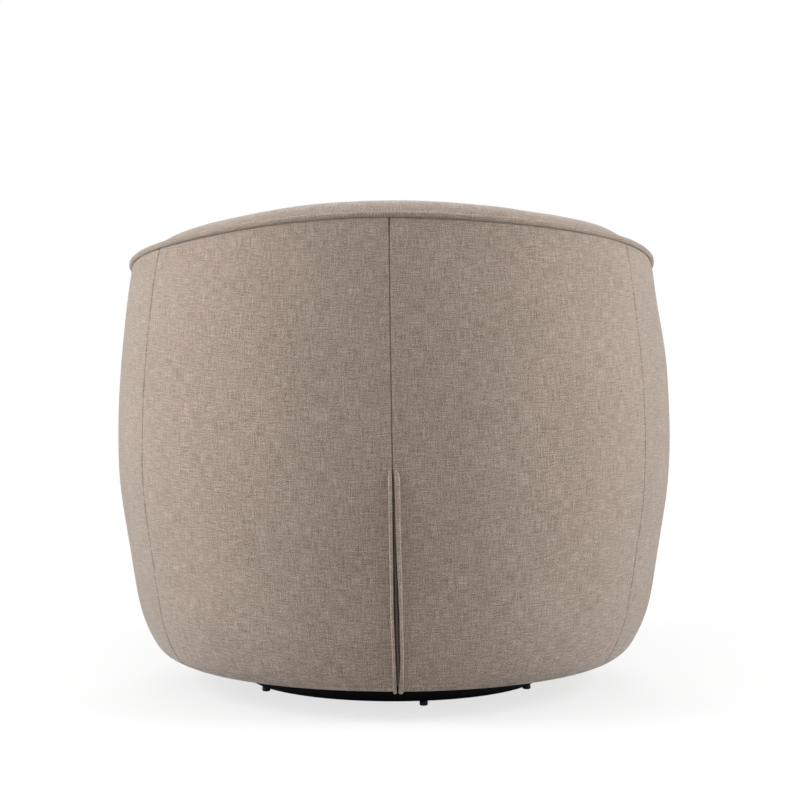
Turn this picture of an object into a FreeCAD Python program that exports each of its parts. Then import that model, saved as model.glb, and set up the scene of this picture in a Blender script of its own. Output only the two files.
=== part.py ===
"""Swivel barrel chair: a round upholstered tub on a ball-bearing swivel plate and a low plinth.

Frame: origin on the floor under the swivel axis, +Z up, the sitter faces -Y, the closed back is at +Y.
"""

import FreeCAD, Part
import Sketcher
import math
import os

from FreeCAD import Placement, Rotation, Vector

doc = FreeCAD.newDocument("swivel_barrel_chair")
sheet = doc.addObject("Spreadsheet::Sheet", "sizes")

# Driving dimensions, in millimetres and degrees. A value that starts with = follows from others,
# so the bucket, the frame and the cushion keep their walls and gaps when the barrel changes.
DRIVING = {
    # plinth and glides
    "glide_height": 7.0,
    "glide_diameter": 12.0,
    "glide_circle_radius": 202.0,
    "glide_angle_left": -63.3,
    "glide_angle_back": 11.8,
    "glide_angle_right": 68.5,
    "plinth_diameter": 420.0,
    "plinth_thickness": 18.0,
    "plinth_edge_bevel": 4.0,
    # swivel bearing
    "plate_side": 200.0,
    "plate_thickness": 3.0,
    "ball_diameter": 9.5,
    "ball_clearance": 0.06,
    "ball_count": 12,
    "race_radius": 62.0,
    "race_depth": 0.85,
    "cage_width": 20.0,
    "cage_thickness": 1.6,
    "collar_bore_radius": 12.0,
    "collar_wall": 2.5,
    "collar_lip": 4.0,
    "running_clearance": 0.4,
    "screw_circle_radius": 122.0,
    "screw_shank_diameter": 5.0,
    "screw_head_diameter": 10.0,
    "screw_head_height": 2.4,
    "screw_bite": 13.0,
    # outside of the barrel, from the floor side up
    "barrel_radius": 392.5,
    "hem_round": 50.7,
    "hem_turn": 59.2,
    "skirt_round": 200.6,
    "skirt_turn": 81.2,
    "flank_length": 112.4,
    "belly_round": 611.0,
    "shoulder_round": 1548.6,
    "hem_width": 142.5,
    "hem_inner_radius": "=barrel_radius - hem_width",
    # rim seen from the side
    "rim_height": 591.6,
    "rim_slope": 13.2,
    "rim_sweep_from_back": 192.5,
    "rim_sweep_start": "=barrel_radius - rim_sweep_from_back",
    "rim_sweep_round": 1320.0,
    "arm_drop_from_front": 262.5,
    "arm_drop_start": "=arm_drop_from_front - barrel_radius",
    "arm_drop_round": 150.0,
    "arm_front_turn": 80.0,
    "rim_crown": 30.0,
    "welt_diameter": 8.5,
    "welt_stand_off": 0.8,
    # bucket seen from above
    "wall_thickness": 130.5,
    "bucket_radius": "=barrel_radius - wall_thickness",
    "bucket_shift": -8.0,
    "arm_inner_round": 880.0,
    "deck_height": 300.0,
    # layers
    "cover_thickness": 2.5,
    "outer_padding": 10.0,
    "inner_padding": 35.0,
    "inner_board": 4.0,
    "deck_padding": 4.4,
    "dust_cloth": 0.8,
    # frame
    "board_thickness": 15.0,
    "board_set_back": 104.5,
    "board_radius": "=barrel_radius - board_set_back",
    "board_hole_radius": 30.0,
    "rib_thickness": 18.0,
    "rib_foot_depth": 83.0,
    "rib_foot_radius": "=board_radius - rib_foot_depth",
    "rib_window_margin": 32.0,
    "rail_thickness": 18.0,
    "seat_ring_thickness": 18.0,
    "seat_ring_set_back": 57.5,
    "seat_ring_width": 100.0,
    "seat_ring_outer_radius": "=barrel_radius - seat_ring_set_back",
    "seat_ring_inner_radius": "=seat_ring_outer_radius - seat_ring_width",
    "webbing_width": 50.0,
    "webbing_spacing": 72.0,
    "webbing_thickness": 1.5,
    "webbing_rise": 0.8,
    "webbing_tack": 55.0,
    "webbing_reach": "=seat_ring_inner_radius + webbing_tack",
    # cover seams, as angles from the centre of the back
    "side_seam_angle": 62.0,
    "front_seam_angle": 134.0,
    "seam_gap": 0.3,
    # zip closure in the lower back
    "zip_top_height": 352.0,
    "zip_lip_inner": 3.2,
    "zip_lip_width": 4.6,
    "zip_lip_raise": 1.8,
    "zip_coil_width": 3.0,
    "zip_coil_raise": 0.9,
    "zip_hem_height": 47.0,
    "zip_slider_length": 14.0,
    # loose seat cushion
    "cushion_gap": 4.0,
    "cushion_rest_gap": 0.3,
    "cushion_front_set_back": 9.5,
    "cushion_front_radius": "=barrel_radius - cushion_front_set_back",
    "cushion_corner_round": 46.0,
    "cushion_edge_height": 137.0,
    "cushion_foot_round": 7.0,
    "cushion_crown": 23.0,
    "cushion_draw_in": 6.0,
    "cushion_welt_diameter": 8.0,
}

for row, (alias, value) in enumerate(DRIVING.items(), start=1):
    sheet.set("A%d" % row, alias)
    sheet.set("B%d" % row, str(value))
    sheet.setAlias("B%d" % row, alias)
doc.recompute()


def size(alias):
    """The value of one driving dimension, read from the sheet."""
    return float(sheet.get(alias))


def sin(degrees):
    return math.sin(math.radians(degrees))


def cos(degrees):
    return math.cos(math.radians(degrees))


# Heights that follow from the stack of plinth, plates and balls.
plinth_top = size("glide_height") + size("plinth_thickness")
ball_centre = plinth_top + size("plate_thickness") - size("race_depth") + size("ball_diameter") / 2
upper_plate_bottom = ball_centre + size("ball_diameter") / 2 - size("race_depth")
barrel_bottom = upper_plate_bottom + size("plate_thickness")
board_bottom = barrel_bottom + size("dust_cloth")
board_top = board_bottom + size("board_thickness")
webbing_stack = size("webbing_thickness") + 2 * size("webbing_rise")
deck_pad_top = size("deck_height") - size("cover_thickness")
deck_pad_bottom = deck_pad_top - size("deck_padding")
ring_top = deck_pad_bottom - webbing_stack
ring_bottom = ring_top - size("seat_ring_thickness")

# How far each layer of the wall lies inside the barrel, or outside the bucket.
cover = size("cover_thickness")
frame_inset = cover + size("outer_padding")
board_grow = cover + size("inner_padding")
frame_grow = board_grow + size("inner_board")
reach = 2 * size("barrel_radius")
sky = 2 * size("rim_height")


# Straights across the rim's crown, and stations along its back and along each arm's drop.
RIM_STRAIGHTS = 6
BACK_STATIONS = 16
DROP_STATIONS = 5
# Straights that follow the hem, skirt, belly and shoulder arcs of the barrel, and the sides of the
# barrel and of the frame seen from above. They keep the model's facets few.
STRAIGHTS = (4, 2, 1, 4)
BARREL_SIDES = 72
FRAME_SIDES = 24


def arc(start, middle, end):
    return Part.Arc(start, middle, end).toShape()


def line(start, end):
    return Part.LineSegment(start, end).toShape()


def barrel_chain():
    """Tangent arcs of the barrel's outside, as (centre r, centre z, radius, first turn, last turn).

    A turn is the direction of travel, 0 along the floor and 90 straight up.
    """
    turns = (size("hem_turn"), size("skirt_turn"))
    hem, skirt, belly = size("hem_round"), size("skirt_round"), size("belly_round")
    flank = size("flank_length")
    run = hem * sin(turns[0]) + skirt * (sin(turns[1]) - sin(turns[0]))
    run += flank * cos(turns[1]) + belly * (1 - sin(turns[1]))
    hem_r = size("barrel_radius") - run
    hem_z = barrel_bottom + hem
    skirt_r = hem_r + (hem - skirt) * sin(turns[0])
    skirt_z = hem_z - (hem - skirt) * cos(turns[0])
    belly_r = size("barrel_radius") - belly
    belly_z = skirt_z - skirt * cos(turns[1]) + flank * sin(turns[1]) + belly * cos(turns[1])
    shoulder_r = size("barrel_radius") - size("shoulder_round")
    return [
        (hem_r, hem_z, hem, 0.0, turns[0]),
        (skirt_r, skirt_z, skirt, turns[0], turns[1]),
        (belly_r, belly_z, belly, turns[1], 90.0),
        (shoulder_r, belly_z, size("shoulder_round"), 90.0, 106.0),
    ]


def barrel_points(inset):
    """Points (r, height) of the barrel's outside, from the floor side up, moved inwards by inset.

    Each arc is followed in a few short straights that stay within 2 mm of it.
    """
    points = []
    for (centre_r, centre_z, radius, first, final), steps in zip(barrel_chain(), STRAIGHTS):
        for step in range(steps + 1):
            turn = first + (final - first) * step / steps
            point = (centre_r + (radius - inset) * sin(turn), centre_z - (radius - inset) * cos(turn))
            if not points or math.dist(points[-1], point) > 0.01:
                points.append(point)
    return points


def frame_points():
    """Points (r, height) of the plywood frame's straight outside, under the ends of the barrel's arcs."""
    points = [(size("board_radius") / cos(180 / FRAME_SIDES), board_bottom)]
    for centre_r, centre_z, radius, first, final in barrel_chain():
        turn = final if len(points) > 1 else final * 0.8
        points.append((centre_r + (radius - frame_inset) * sin(turn),
                       centre_z - (radius - frame_inset) * cos(turn)))
    return points


def polygon(sides, radius, centre, turn=0.0):
    """Level outline of equal sides, radius to its corners."""
    corners = [centre + Vector(radius * cos(turn + 360 * k / sides), radius * sin(turn + 360 * k / sides), 0)
               for k in range(sides)]
    return Part.makePolygon(corners + corners[:1])


def stacked_solid(points, sides):
    """Solid through level outlines of equal sides, one at each (r, height)."""
    return Part.makeLoft([polygon(sides, radius, Vector(0, 0, height)) for radius, height in points],
                         True, True)


def barrel_radius_at(height):
    """Radius of the barrel's outside at a height."""
    for centre_r, centre_z, radius, first, final in barrel_chain():
        low = centre_z - radius * cos(first)
        high = centre_z - radius * cos(final)
        if low - 0.001 <= height <= high:
            return centre_r + math.sqrt(radius ** 2 - (height - centre_z) ** 2)
    chain = barrel_chain()
    r_low = chain[1][0] + chain[1][2] * sin(chain[1][4])
    z_low = chain[1][1] - chain[1][2] * cos(chain[1][4])
    return r_low + (height - z_low) / math.tan(math.radians(size("skirt_turn")))


def back_angle(degrees):
    """Rotation that takes the XZ half-plane to an angle from the centre of the back."""
    return Rotation(Vector(0, 0, 1), 90 + degrees)


def rim_points():
    """Named points and centres of the rim seen from the side, as (y, z)."""
    slope = size("rim_slope")
    rise = math.tan(math.radians(slope))
    sweep_y, drop_y = size("rim_sweep_start"), size("arm_drop_start")
    sweep_z = size("rim_height") + rise * sweep_y
    drop_z = size("rim_height") + rise * drop_y
    return {
        "sweep": (sweep_y, sweep_z),
        "sweep_centre": (sweep_y - size("rim_sweep_round") * sin(slope),
                         sweep_z + size("rim_sweep_round") * cos(slope)),
        "drop": (drop_y, drop_z),
        "drop_centre": (drop_y + size("arm_drop_round") * sin(slope),
                        drop_z - size("arm_drop_round") * cos(slope)),
    }


def side_view(drop, low, apron=None):
    """Prism of all that lies under the rim in side view, moved down by drop.

    The arm front runs down to low. With an apron height the prism also goes on forward under it.
    """
    points = rim_points()
    slope, turn = size("rim_slope"), size("arm_front_turn")
    sweep_radius = size("rim_sweep_round") + drop
    back_y = size("barrel_radius") + 20
    sweep_y, sweep_z = points["sweep_centre"]
    drop_y, drop_z = points["drop_centre"]
    drop_radius = size("arm_drop_round") - drop

    def on_sweep(angle):
        return Vector(0, sweep_y + sweep_radius * sin(angle), sweep_z - sweep_radius * cos(angle))

    def on_drop(angle):
        return Vector(0, drop_y - drop_radius * sin(angle), drop_z + drop_radius * cos(angle))

    last = math.degrees(math.asin((back_y - sweep_y) / sweep_radius))
    back_top = on_sweep(last)
    front_top = on_drop(turn)
    front_low = Vector(0, front_top.y - (front_top.z - low) / math.tan(math.radians(turn)), low)
    rounding = [on_drop(slope + (turn - slope) * step / DROP_STATIONS) for step in range(DROP_STATIONS + 1)]
    edges = [arc(back_top, on_sweep((last + slope) / 2), on_sweep(slope)),
             line(on_sweep(slope), rounding[0])]
    edges += [line(a, b) for a, b in zip(rounding, rounding[1:])]
    if apron is None:
        corners = [front_low]
        floor_y = front_low.y
    else:
        apron_y = front_top.y - (front_top.z - apron) / math.tan(math.radians(turn))
        corners = [Vector(0, apron_y, apron), Vector(0, -reach, apron)]
        floor_y = -reach
        low = 0.0
    corners = [front_top] + corners
    if apron is not None:
        corners.append(Vector(0, floor_y, low))
    corners += [Vector(0, back_top.y, low), back_top]
    edges += [line(a, b) for a, b in zip(corners, corners[1:])]
    face = Part.Face(Part.Wire(edges))
    face.translate(Vector(-reach, 0, 0))
    return face.extrude(Vector(2 * reach, 0, 0))


def arm_front_y(height):
    """Y of the arm's front face at a height, below the round of the arm."""
    centre_y, centre_z = rim_points()["drop_centre"]
    turn = size("arm_front_turn")
    top_y = centre_y - size("arm_drop_round") * sin(turn)
    top_z = centre_z + size("arm_drop_round") * cos(turn)
    return top_y - (top_z - height) / math.tan(math.radians(turn))


def rim_height_at(y):
    """Height of the rim in side view, from the back to the start of the arm's drop."""
    points = rim_points()
    if y <= points["sweep"][0]:
        return size("rim_height") + math.tan(math.radians(size("rim_slope"))) * y
    centre_y, centre_z = points["sweep_centre"]
    return centre_z - math.sqrt(size("rim_sweep_round") ** 2 - (y - centre_y) ** 2)


def bucket_x(y, grow=0.0):
    """Half-width of the bucket at y, in front of its round back."""
    radius = size("arm_inner_round") + grow
    centre = size("bucket_radius") - size("arm_inner_round")
    return centre + math.sqrt(radius ** 2 - (y - size("bucket_shift")) ** 2)


def bucket(grow, low, high, straight=False):
    """Prism of the bucket seen from above, its outline moved outwards by grow.

    A straight one has short straights for its arcs, for faces that never show.
    """
    radius, shift = size("bucket_radius") + grow, size("bucket_shift")
    front = -size("barrel_radius") * 0.8
    side = [Vector(bucket_x(y, grow), y, low)
            for y in (front + (shift - front) * step / 4 for step in range(5))]
    back = [Vector(radius * cos(turn), shift + radius * sin(turn), low)
            for turn in range(15, 180, 15)]
    left = [Vector(-point.x, point.y, low) for point in reversed(side)]
    mouth = side[0].x
    corners = [Vector(-mouth, -reach, low), Vector(mouth, -reach, low)]
    if straight:
        outline = side + back + left + corners
        wire = Part.makePolygon(outline + outline[:1])
    else:
        wire = Part.Wire([
            arc(side[0], side[2], side[4]),
            arc(side[4], Vector(0, shift + radius, low), left[0]),
            arc(left[0], left[2], left[4]),
            line(left[4], corners[0]),
            line(corners[0], corners[1]),
            line(corners[1], side[0]),
        ])
    return Part.Face(wire).extrude(Vector(0, 0, high - low))


def wedge(start, sweep, low=0.0, high=None):
    """Solid sector about the swivel axis, between two angles from the centre of the back."""
    height = (sky if high is None else high) - low
    sector = Part.makeCylinder(reach, height, Vector(0, 0, low), Vector(0, 0, 1), sweep)
    sector.Placement = Placement(Vector(0, 0, low), back_angle(start))
    return sector


def slab(low, high):
    return Part.makeBox(2 * reach, 2 * reach, high - low, Vector(-reach, -reach, low))


def feature(label, shape):
    """Document object for a shape that neither a body nor a primitive can hold."""
    item = doc.addObject("Part::Feature", label)
    item.Label = label
    solids = shape.Solids
    item.Shape = solids[0] if len(solids) == 1 else Part.makeCompound(solids)
    pieces[label] = item
    return item


pieces = {}


def body_of(label):
    body = doc.addObject("PartDesign::Body", label)
    body.Label = label
    pieces[label] = body
    return body


def origin_plane(body, role):
    return next(f for f in body.Origin.OriginFeatures if f.Role == role)


def circle_pad(body, name, radii, height, bottom):
    """Pad of concentric circles, all bound to the sheet: radii, height and bottom are expressions."""
    sketch = body.newObject("Sketcher::SketchObject", name + "_outline")
    sketch.AttachmentSupport = (origin_plane(body, "XY_Plane"), [""])
    sketch.MapMode = "FlatFace"
    sketch.setExpression("AttachmentOffset.Base.z", bottom)
    for number, radius in enumerate(radii):
        sketch.addGeometry(Part.Circle(Vector(0, 0, 0), Vector(0, 0, 1), 10.0 * (len(radii) - number)), False)
        sketch.addConstraint(Sketcher.Constraint("Coincident", number, 3, -1, 1))
        index = sketch.addConstraint(
            Sketcher.Constraint("Radius", number, 10.0 * (len(radii) - number)))
        sketch.renameConstraint(index, "radius_%d" % number)
        sketch.setExpression("Constraints.radius_%d" % number, radius)
    pad = body.newObject("PartDesign::Pad", name + "_pad")
    pad.Profile = sketch
    pad.setExpression("Length", height)
    doc.recompute()
    return pad


def polygon_pad(body, name, sides, radii, height, bottom):
    """Pad of one or two concentric polygons: radii are expressions for their corner radii."""
    sketch = body.newObject("Sketcher::SketchObject", name + "_outline")
    sketch.AttachmentSupport = (origin_plane(body, "XY_Plane"), [""])
    sketch.MapMode = "FlatFace"
    sketch.AttachmentOffset = Placement(Vector(0, 0, bottom), Rotation())
    for number, radius in enumerate(radii):
        guide = 100.0 / (number + 1)
        step = 360.0 / sides
        corners = [Vector(guide * cos(step * (k + 0.5)), guide * sin(step * (k + 0.5)), 0)
                   for k in range(sides)]
        first = sketch.GeometryCount
        for k in range(sides):
            sketch.addGeometry(Part.LineSegment(corners[k], corners[(k + 1) % sides]), False)
        circle = sketch.addGeometry(Part.Circle(Vector(0, 0, 0), Vector(0, 0, 1), guide), True)
        sketch.addConstraint(Sketcher.Constraint("Coincident", circle, 3, -1, 1))
        for k in range(sides):
            sketch.addConstraint(Sketcher.Constraint("Coincident", first + k, 2, first + (k + 1) % sides, 1))
            sketch.addConstraint(Sketcher.Constraint("PointOnObject", first + k, 1, circle))
            if k:
                sketch.addConstraint(Sketcher.Constraint("Equal", first, first + k))
        sketch.addConstraint(Sketcher.Constraint("Vertical", first + sides - 1))
        index = sketch.addConstraint(Sketcher.Constraint("Radius", circle, guide))
        sketch.renameConstraint(index, "corner_radius_%d" % number)
        sketch.setExpression("Constraints.corner_radius_%d" % number, radius)
    pad = body.newObject("PartDesign::Pad", name + "_pad")
    pad.Profile = sketch
    pad.setExpression("Length", height)
    doc.recompute()
    return pad


def on_circle(radius, degrees, height=0.0):
    return Vector(-radius * sin(degrees), radius * cos(degrees), height)


def corner_screws():
    return [on_circle(size("screw_circle_radius"), 45 + 90 * quarter) for quarter in range(4)]


def screw_pockets(body, name, height, depth, upwards):
    """Pilot holes of the four corner screws, sunk from a height: depth is an expression."""
    sketch = body.newObject("Sketcher::SketchObject", name + "_holes")
    sketch.AttachmentSupport = (origin_plane(body, "XY_Plane"), [""])
    sketch.MapMode = "FlatFace"
    sketch.AttachmentOffset = Placement(Vector(0, 0, height), Rotation())
    for number, (along, across) in enumerate(((1, 1), (-1, 1), (-1, -1), (1, -1))):
        centre = corner_screws()[0]
        centre = Vector(abs(centre.x) * along, abs(centre.y) * across, 0)
        sketch.addGeometry(Part.Circle(centre, Vector(0, 0, 1), 2.0), False)
        index = sketch.addConstraint(Sketcher.Constraint("Radius", number, 2.0))
        sketch.renameConstraint(index, "hole_radius_%d" % number)
        sketch.setExpression("Constraints.hole_radius_%d" % number, "sizes.screw_shank_diameter / 2")
        for kind, sign, label in (("DistanceX", along, "x"), ("DistanceY", across, "y")):
            index = sketch.addConstraint(Sketcher.Constraint(kind, -1, 1, number, 3, abs(centre.x) * sign))
            sketch.renameConstraint(index, "hole_%s_%d" % (label, number))
            sketch.setExpression("Constraints.hole_%s_%d" % (label, number),
                                 "%d * sizes.screw_circle_radius * sqrt(2) / 2" % sign)
    before = body.Shape.Volume
    pocket = body.newObject("PartDesign::Pocket", name + "_pocket")
    pocket.Profile = sketch
    pocket.Reversed = upwards
    pocket.setExpression("Length", depth)
    doc.recompute()
    if body.Shape.Volume >= before:
        raise RuntimeError(name + ": the screw holes cut nothing")


def bevel_rims(body, base, name, radius, picks):
    """Chamfer the circular edges of base that picks accepts."""
    names = []
    for number, edge in enumerate(base.Shape.Edges, start=1):
        if isinstance(edge.Curve, Part.Circle) and picks(edge):
            names.append("Edge%d" % number)
    bevel = body.newObject("PartDesign::Chamfer", name)
    bevel.Base = (base, names)
    bevel.setExpression("Size", radius)
    doc.recompute()
    return bevel


def prism(sides, radius, centre, height, turn=0.0):
    """Upright prism of equal sides, radius to its corners."""
    return Part.Face(polygon(sides, radius, centre, turn)).extrude(Vector(0, 0, height))


def screw(centre, head_at, length, flip=1):
    """Hex-head screw: head_at is the face that it clamps, and flip is -1 where it is driven upwards."""
    at = Vector(centre.x, centre.y, head_at)
    shank = prism(8, size("screw_shank_diameter") / 2, at, -flip * length)
    head = prism(6, size("screw_head_diameter") / 2, at, flip * size("screw_head_height"))
    return shank.fuse(head).removeSplitter()


# Plinth and glides.
plinth = body_of("plinth_disc")
plinth_pad = circle_pad(plinth, "plinth", ["sizes.plinth_diameter / 2"], "sizes.plinth_thickness",
                        "sizes.glide_height")
bevel_rims(plinth, plinth_pad, "plinth_edge", "sizes.plinth_edge_bevel",
           lambda edge: edge.Curve.Center.z < plinth_top - 0.01)
screw_pockets(plinth, "plinth", plinth_top, "sizes.screw_bite - sizes.plate_thickness", False)

glide_angles = ["glide_angle_left", "glide_angle_back", "glide_angle_right"]
for number in range(6):
    alias = glide_angles[number % 3]
    far_side = 180 * (number // 3)
    glide = body_of("glide_%d" % (number + 1))
    polygon_pad(glide, "glide", 12, ["sizes.glide_diameter / 2"], "sizes.glide_height", 0.0)
    turn = "(sizes.%s + %d) * 1 deg" % (alias, far_side)
    glide.setExpression("Placement.Base.x", "-sizes.glide_circle_radius * sin(%s)" % turn)
    glide.setExpression("Placement.Base.y", "sizes.glide_circle_radius * cos(%s)" % turn)


def plate(bottom, race_low, bore):
    """Square pressed plate with a ball race, a bore and a screw hole in each corner."""
    side = size("plate_side")
    blank = Part.makeBox(side, side, size("plate_thickness"), Vector(-side / 2, -side / 2, bottom))
    race_half = math.sqrt(size("race_depth") * (size("ball_diameter") - size("race_depth")))
    race = prism(24, (size("race_radius") + race_half) / cos(7.5), Vector(0, 0, race_low),
                 size("race_depth"))
    race = race.cut(prism(24, size("race_radius") - race_half, Vector(0, 0, 0), sky))
    holes = [prism(16, bore, Vector(0, 0, 0), sky), race]
    holes += [prism(8, size("screw_shank_diameter") / 2, at, sky) for at in corner_screws()]
    return blank.cut(Part.makeCompound(holes))


# The lower plate has a pressed collar whose rolled lip keeps the upper plate from lifting off.
collar_radius = size("collar_bore_radius") + size("collar_wall")
collar_top = barrel_bottom + size("running_clearance")
collar = prism(16, collar_radius, Vector(0, 0, plinth_top), collar_top - plinth_top)
lip = prism(16, collar_radius + size("collar_lip"), Vector(0, 0, collar_top), size("collar_wall") / 2)
bore = prism(16, size("collar_bore_radius"), Vector(0, 0, 0), sky)
lower_plate = plate(plinth_top, plinth_top + size("plate_thickness") - size("race_depth"),
                    size("collar_bore_radius"))
feature("swivel_lower_plate", lower_plate.fuse([collar, lip]).cut(bore).removeSplitter())
upper_bore = (collar_radius + size("running_clearance")) / cos(11.25)
feature("swivel_upper_plate", plate(upper_plate_bottom, upper_plate_bottom, upper_bore))
feature("lower_plate_screws", Part.makeCompound([
    screw(at, plinth_top + size("plate_thickness"), size("screw_bite")) for at in corner_screws()]))
feature("upper_plate_screws", Part.makeCompound([
    screw(at, upper_plate_bottom, size("screw_bite"), -1) for at in corner_screws()]))

# Balls and the retainer that spaces them.
ball_count = int(size("ball_count"))
ball_turns = [360.0 * number / ball_count for number in range(ball_count)]
ball_radius = size("ball_diameter") / 2 - size("ball_clearance")


def ball(centre):
    """Ball with flat facets, eight round by six high, which keeps a ring of balls light."""
    rings = []
    for level in range(1, 6):
        reach_r, lift = ball_radius * sin(30 * level), ball_radius * cos(30 * level)
        rings.append([centre + Vector(reach_r * cos(45 * side), reach_r * sin(45 * side), lift)
                      for side in range(8)])
    top, bottom = centre + Vector(0, 0, ball_radius), centre - Vector(0, 0, ball_radius)
    faces = []
    for side in range(8):
        after = (side + 1) % 8
        faces.append([top, rings[0][side], rings[0][after]])
        faces.append([bottom, rings[-1][after], rings[-1][side]])
        for upper, lower in zip(rings, rings[1:]):
            faces.append([upper[side], lower[side], lower[after], upper[after]])
    shell = Part.Shell([Part.Face(Part.makePolygon(corners + corners[:1])) for corners in faces])
    return Part.Solid(shell)


feature("bearing_balls", Part.makeCompound([
    ball(on_circle(size("race_radius"), turn, ball_centre)) for turn in ball_turns]))

cage_bottom = ball_centre - size("cage_thickness") / 2
cage = prism(24, size("race_radius") + size("cage_width") / 2, Vector(0, 0, cage_bottom),
             size("cage_thickness"))
cage = cage.cut(prism(24, size("race_radius") - size("cage_width") / 2, Vector(0, 0, 0), sky))
pocket_side = size("ball_diameter")
for turn in ball_turns:
    pocket = Part.makeBox(pocket_side, pocket_side, sky, Vector(-pocket_side / 2, -pocket_side / 2, 0))
    pocket.Placement = Placement(on_circle(size("race_radius"), turn), Rotation(Vector(0, 0, 1), turn)
                                 ).multiply(pocket.Placement)
    cage = cage.cut(pocket)
feature("ball_cage", cage)

# Eight-sided boards of the seat frame: one on the swivel plate, one that carries the webbing.
bottom_board = body_of("bottom_board")
polygon_pad(bottom_board, "board", 8, ["sizes.board_radius", "sizes.board_hole_radius"],
            "sizes.board_thickness", board_bottom)
screw_pockets(bottom_board, "board", board_bottom,
              "sizes.screw_bite - sizes.plate_thickness - sizes.dust_cloth", True)
seat_ring = body_of("seat_ring")
polygon_pad(seat_ring, "ring", 8, ["sizes.seat_ring_outer_radius", "sizes.seat_ring_inner_radius"],
            "sizes.seat_ring_thickness", ring_bottom)

# Plywood ribs: shaped to the barrel outside and the bucket inside, with a window in the seat part.
frame_solid = stacked_solid(frame_points(), FRAME_SIDES)
frame_space = frame_solid.common(side_view(size("rail_thickness"), 0.0, ring_bottom))
well = bucket(frame_grow, ring_top, sky, True)
core = Part.makeCylinder(size("rib_foot_radius"), sky)
frame_space = frame_space.cut(well).cut(core).cut(seat_ring.Shape).cut(slab(0, board_top))
rib_turns = {
    "rib_back_left": 30.0,
    "rib_back_right": -30.0,
    "rib_side_left": 78.0,
    "rib_side_right": -78.0,
    "rib_arm_left": 122.0,
    "rib_arm_right": -122.0,
    "rib_front_left": 160.0,
    "rib_front_right": -160.0,
}


def rib_blade(turn):
    """Upright sheet on one angle from the centre of the back."""
    sheet_solid = Part.makeBox(reach, size("rib_thickness"), sky, Vector(0, -size("rib_thickness") / 2, 0))
    sheet_solid.Placement = Placement(Vector(0, 0, 0), back_angle(turn)).multiply(sheet_solid.Placement)
    return sheet_solid


window_low = board_top + size("rib_window_margin")
window_high = ring_bottom - size("rib_window_margin")
window_inner = size("rib_foot_radius") + size("rib_window_margin")
window_outer = barrel_radius_at(window_low) - frame_inset - size("rib_window_margin")
for label, turn in rib_turns.items():
    blank = frame_space.common(rib_blade(turn))
    window = Part.makeBox(window_outer - window_inner, reach, window_high - window_low,
                          Vector(window_inner, -reach / 2, window_low))
    window.Placement = Placement(Vector(0, 0, 0), back_angle(turn)).multiply(window.Placement)
    feature(label, blank.cut(window))

# Top rail, bent to the rim's sweep, from arm to arm round the back.
rail_space = frame_solid.cut(bucket(frame_grow, 0, sky, True))
rail_band = side_view(0.0, 0.0).cut(side_view(size("rail_thickness"), 0.0))
arm_end = Part.makeBox(2 * reach, reach, sky, Vector(-reach, -reach + size("arm_drop_start"), 0))
feature("top_rail", rail_space.common(rail_band).cut(arm_end))

# Webbing: straps woven over and under, tacked to the seat ring.
strap_offsets = [size("webbing_spacing") * (number - 1.5) for number in range(4)]


def strap(offset, phase):
    """One strap along X, woven: it rises over every other crossing strap."""
    half = math.sqrt(size("webbing_reach") ** 2 - offset ** 2)
    middle = ring_top + size("webbing_thickness") / 2 + size("webbing_rise")
    low = middle - size("webbing_rise")
    path = [(-half, low)]
    for number, crossing in enumerate(strap_offsets):
        level = middle + size("webbing_rise") * (1 if (number + phase) % 2 else -1)
        path.append((crossing - size("webbing_width") / 2, level))
        path.append((crossing + size("webbing_width") / 2, level))
    path.append((half, low))
    thick = size("webbing_thickness") / 2
    side = offset - size("webbing_width") / 2
    outline = [Vector(x, side, z + thick) for x, z in path]
    outline += [Vector(x, side, z - thick) for x, z in reversed(path)]
    face = Part.Face(Part.makePolygon(outline + outline[:1]))
    return face.extrude(Vector(0, size("webbing_width"), 0))


cross_straps = [strap(offset, number) for number, offset in enumerate(strap_offsets)]
long_straps = []
for number, offset in enumerate(strap_offsets):
    long_strap = strap(offset, number)
    long_strap.rotate(Vector(0, 0, 0), Vector(0, 0, 1), 90)
    long_straps.append(long_strap)
feature("webbing_crosswise", Part.makeCompound(cross_straps))
feature("webbing_lengthwise", Part.makeCompound(long_straps))

# Deck: pad and cloth over the webbing, out to the barrel in front of the arms.
front_field = Part.makeBox(2 * reach, reach, sky, Vector(-reach, -reach + arm_front_y(deck_pad_bottom), 0))
deck_field = bucket(0.0, 0.0, sky).fuse(front_field)
barrel = stacked_solid(barrel_points(0.0), BARREL_SIDES)
deck_pad = frame_solid.common(slab(deck_pad_bottom, deck_pad_top)).common(deck_field)
feature("deck_pad", deck_pad)
deck_cloth = barrel.common(slab(deck_pad_top, size("deck_height"))).common(deck_field)
feature("deck_cloth", deck_cloth)

# Wall layers: inner board, inner padding and inner cover stand on the seat ring.
wall_side = side_view(0.0, 0.0)


def wall_layer(outer_grow, inner_grow, straight_inside):
    layer = bucket(outer_grow, deck_pad_bottom, sky, True).cut(bucket(inner_grow, 0, sky, straight_inside))
    return layer.common(wall_side).common(frame_solid)


feature("inner_board", wall_layer(frame_grow, board_grow, True))
padding = wall_layer(board_grow, 0.0, False)
side_turn = size("side_seam_angle")
half_gap = math.degrees(size("seam_gap") / 2 / size("barrel_radius"))
back_sector = wedge(-side_turn + half_gap, 2 * (side_turn - half_gap))
feature("inner_back_padding", padding.common(back_sector))
arm_sweep = 180 - side_turn - half_gap
feature("inner_arm_padding_left", padding.common(wedge(side_turn + half_gap, arm_sweep)))
feature("inner_arm_padding_right", padding.common(wedge(180, arm_sweep)))

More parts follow.
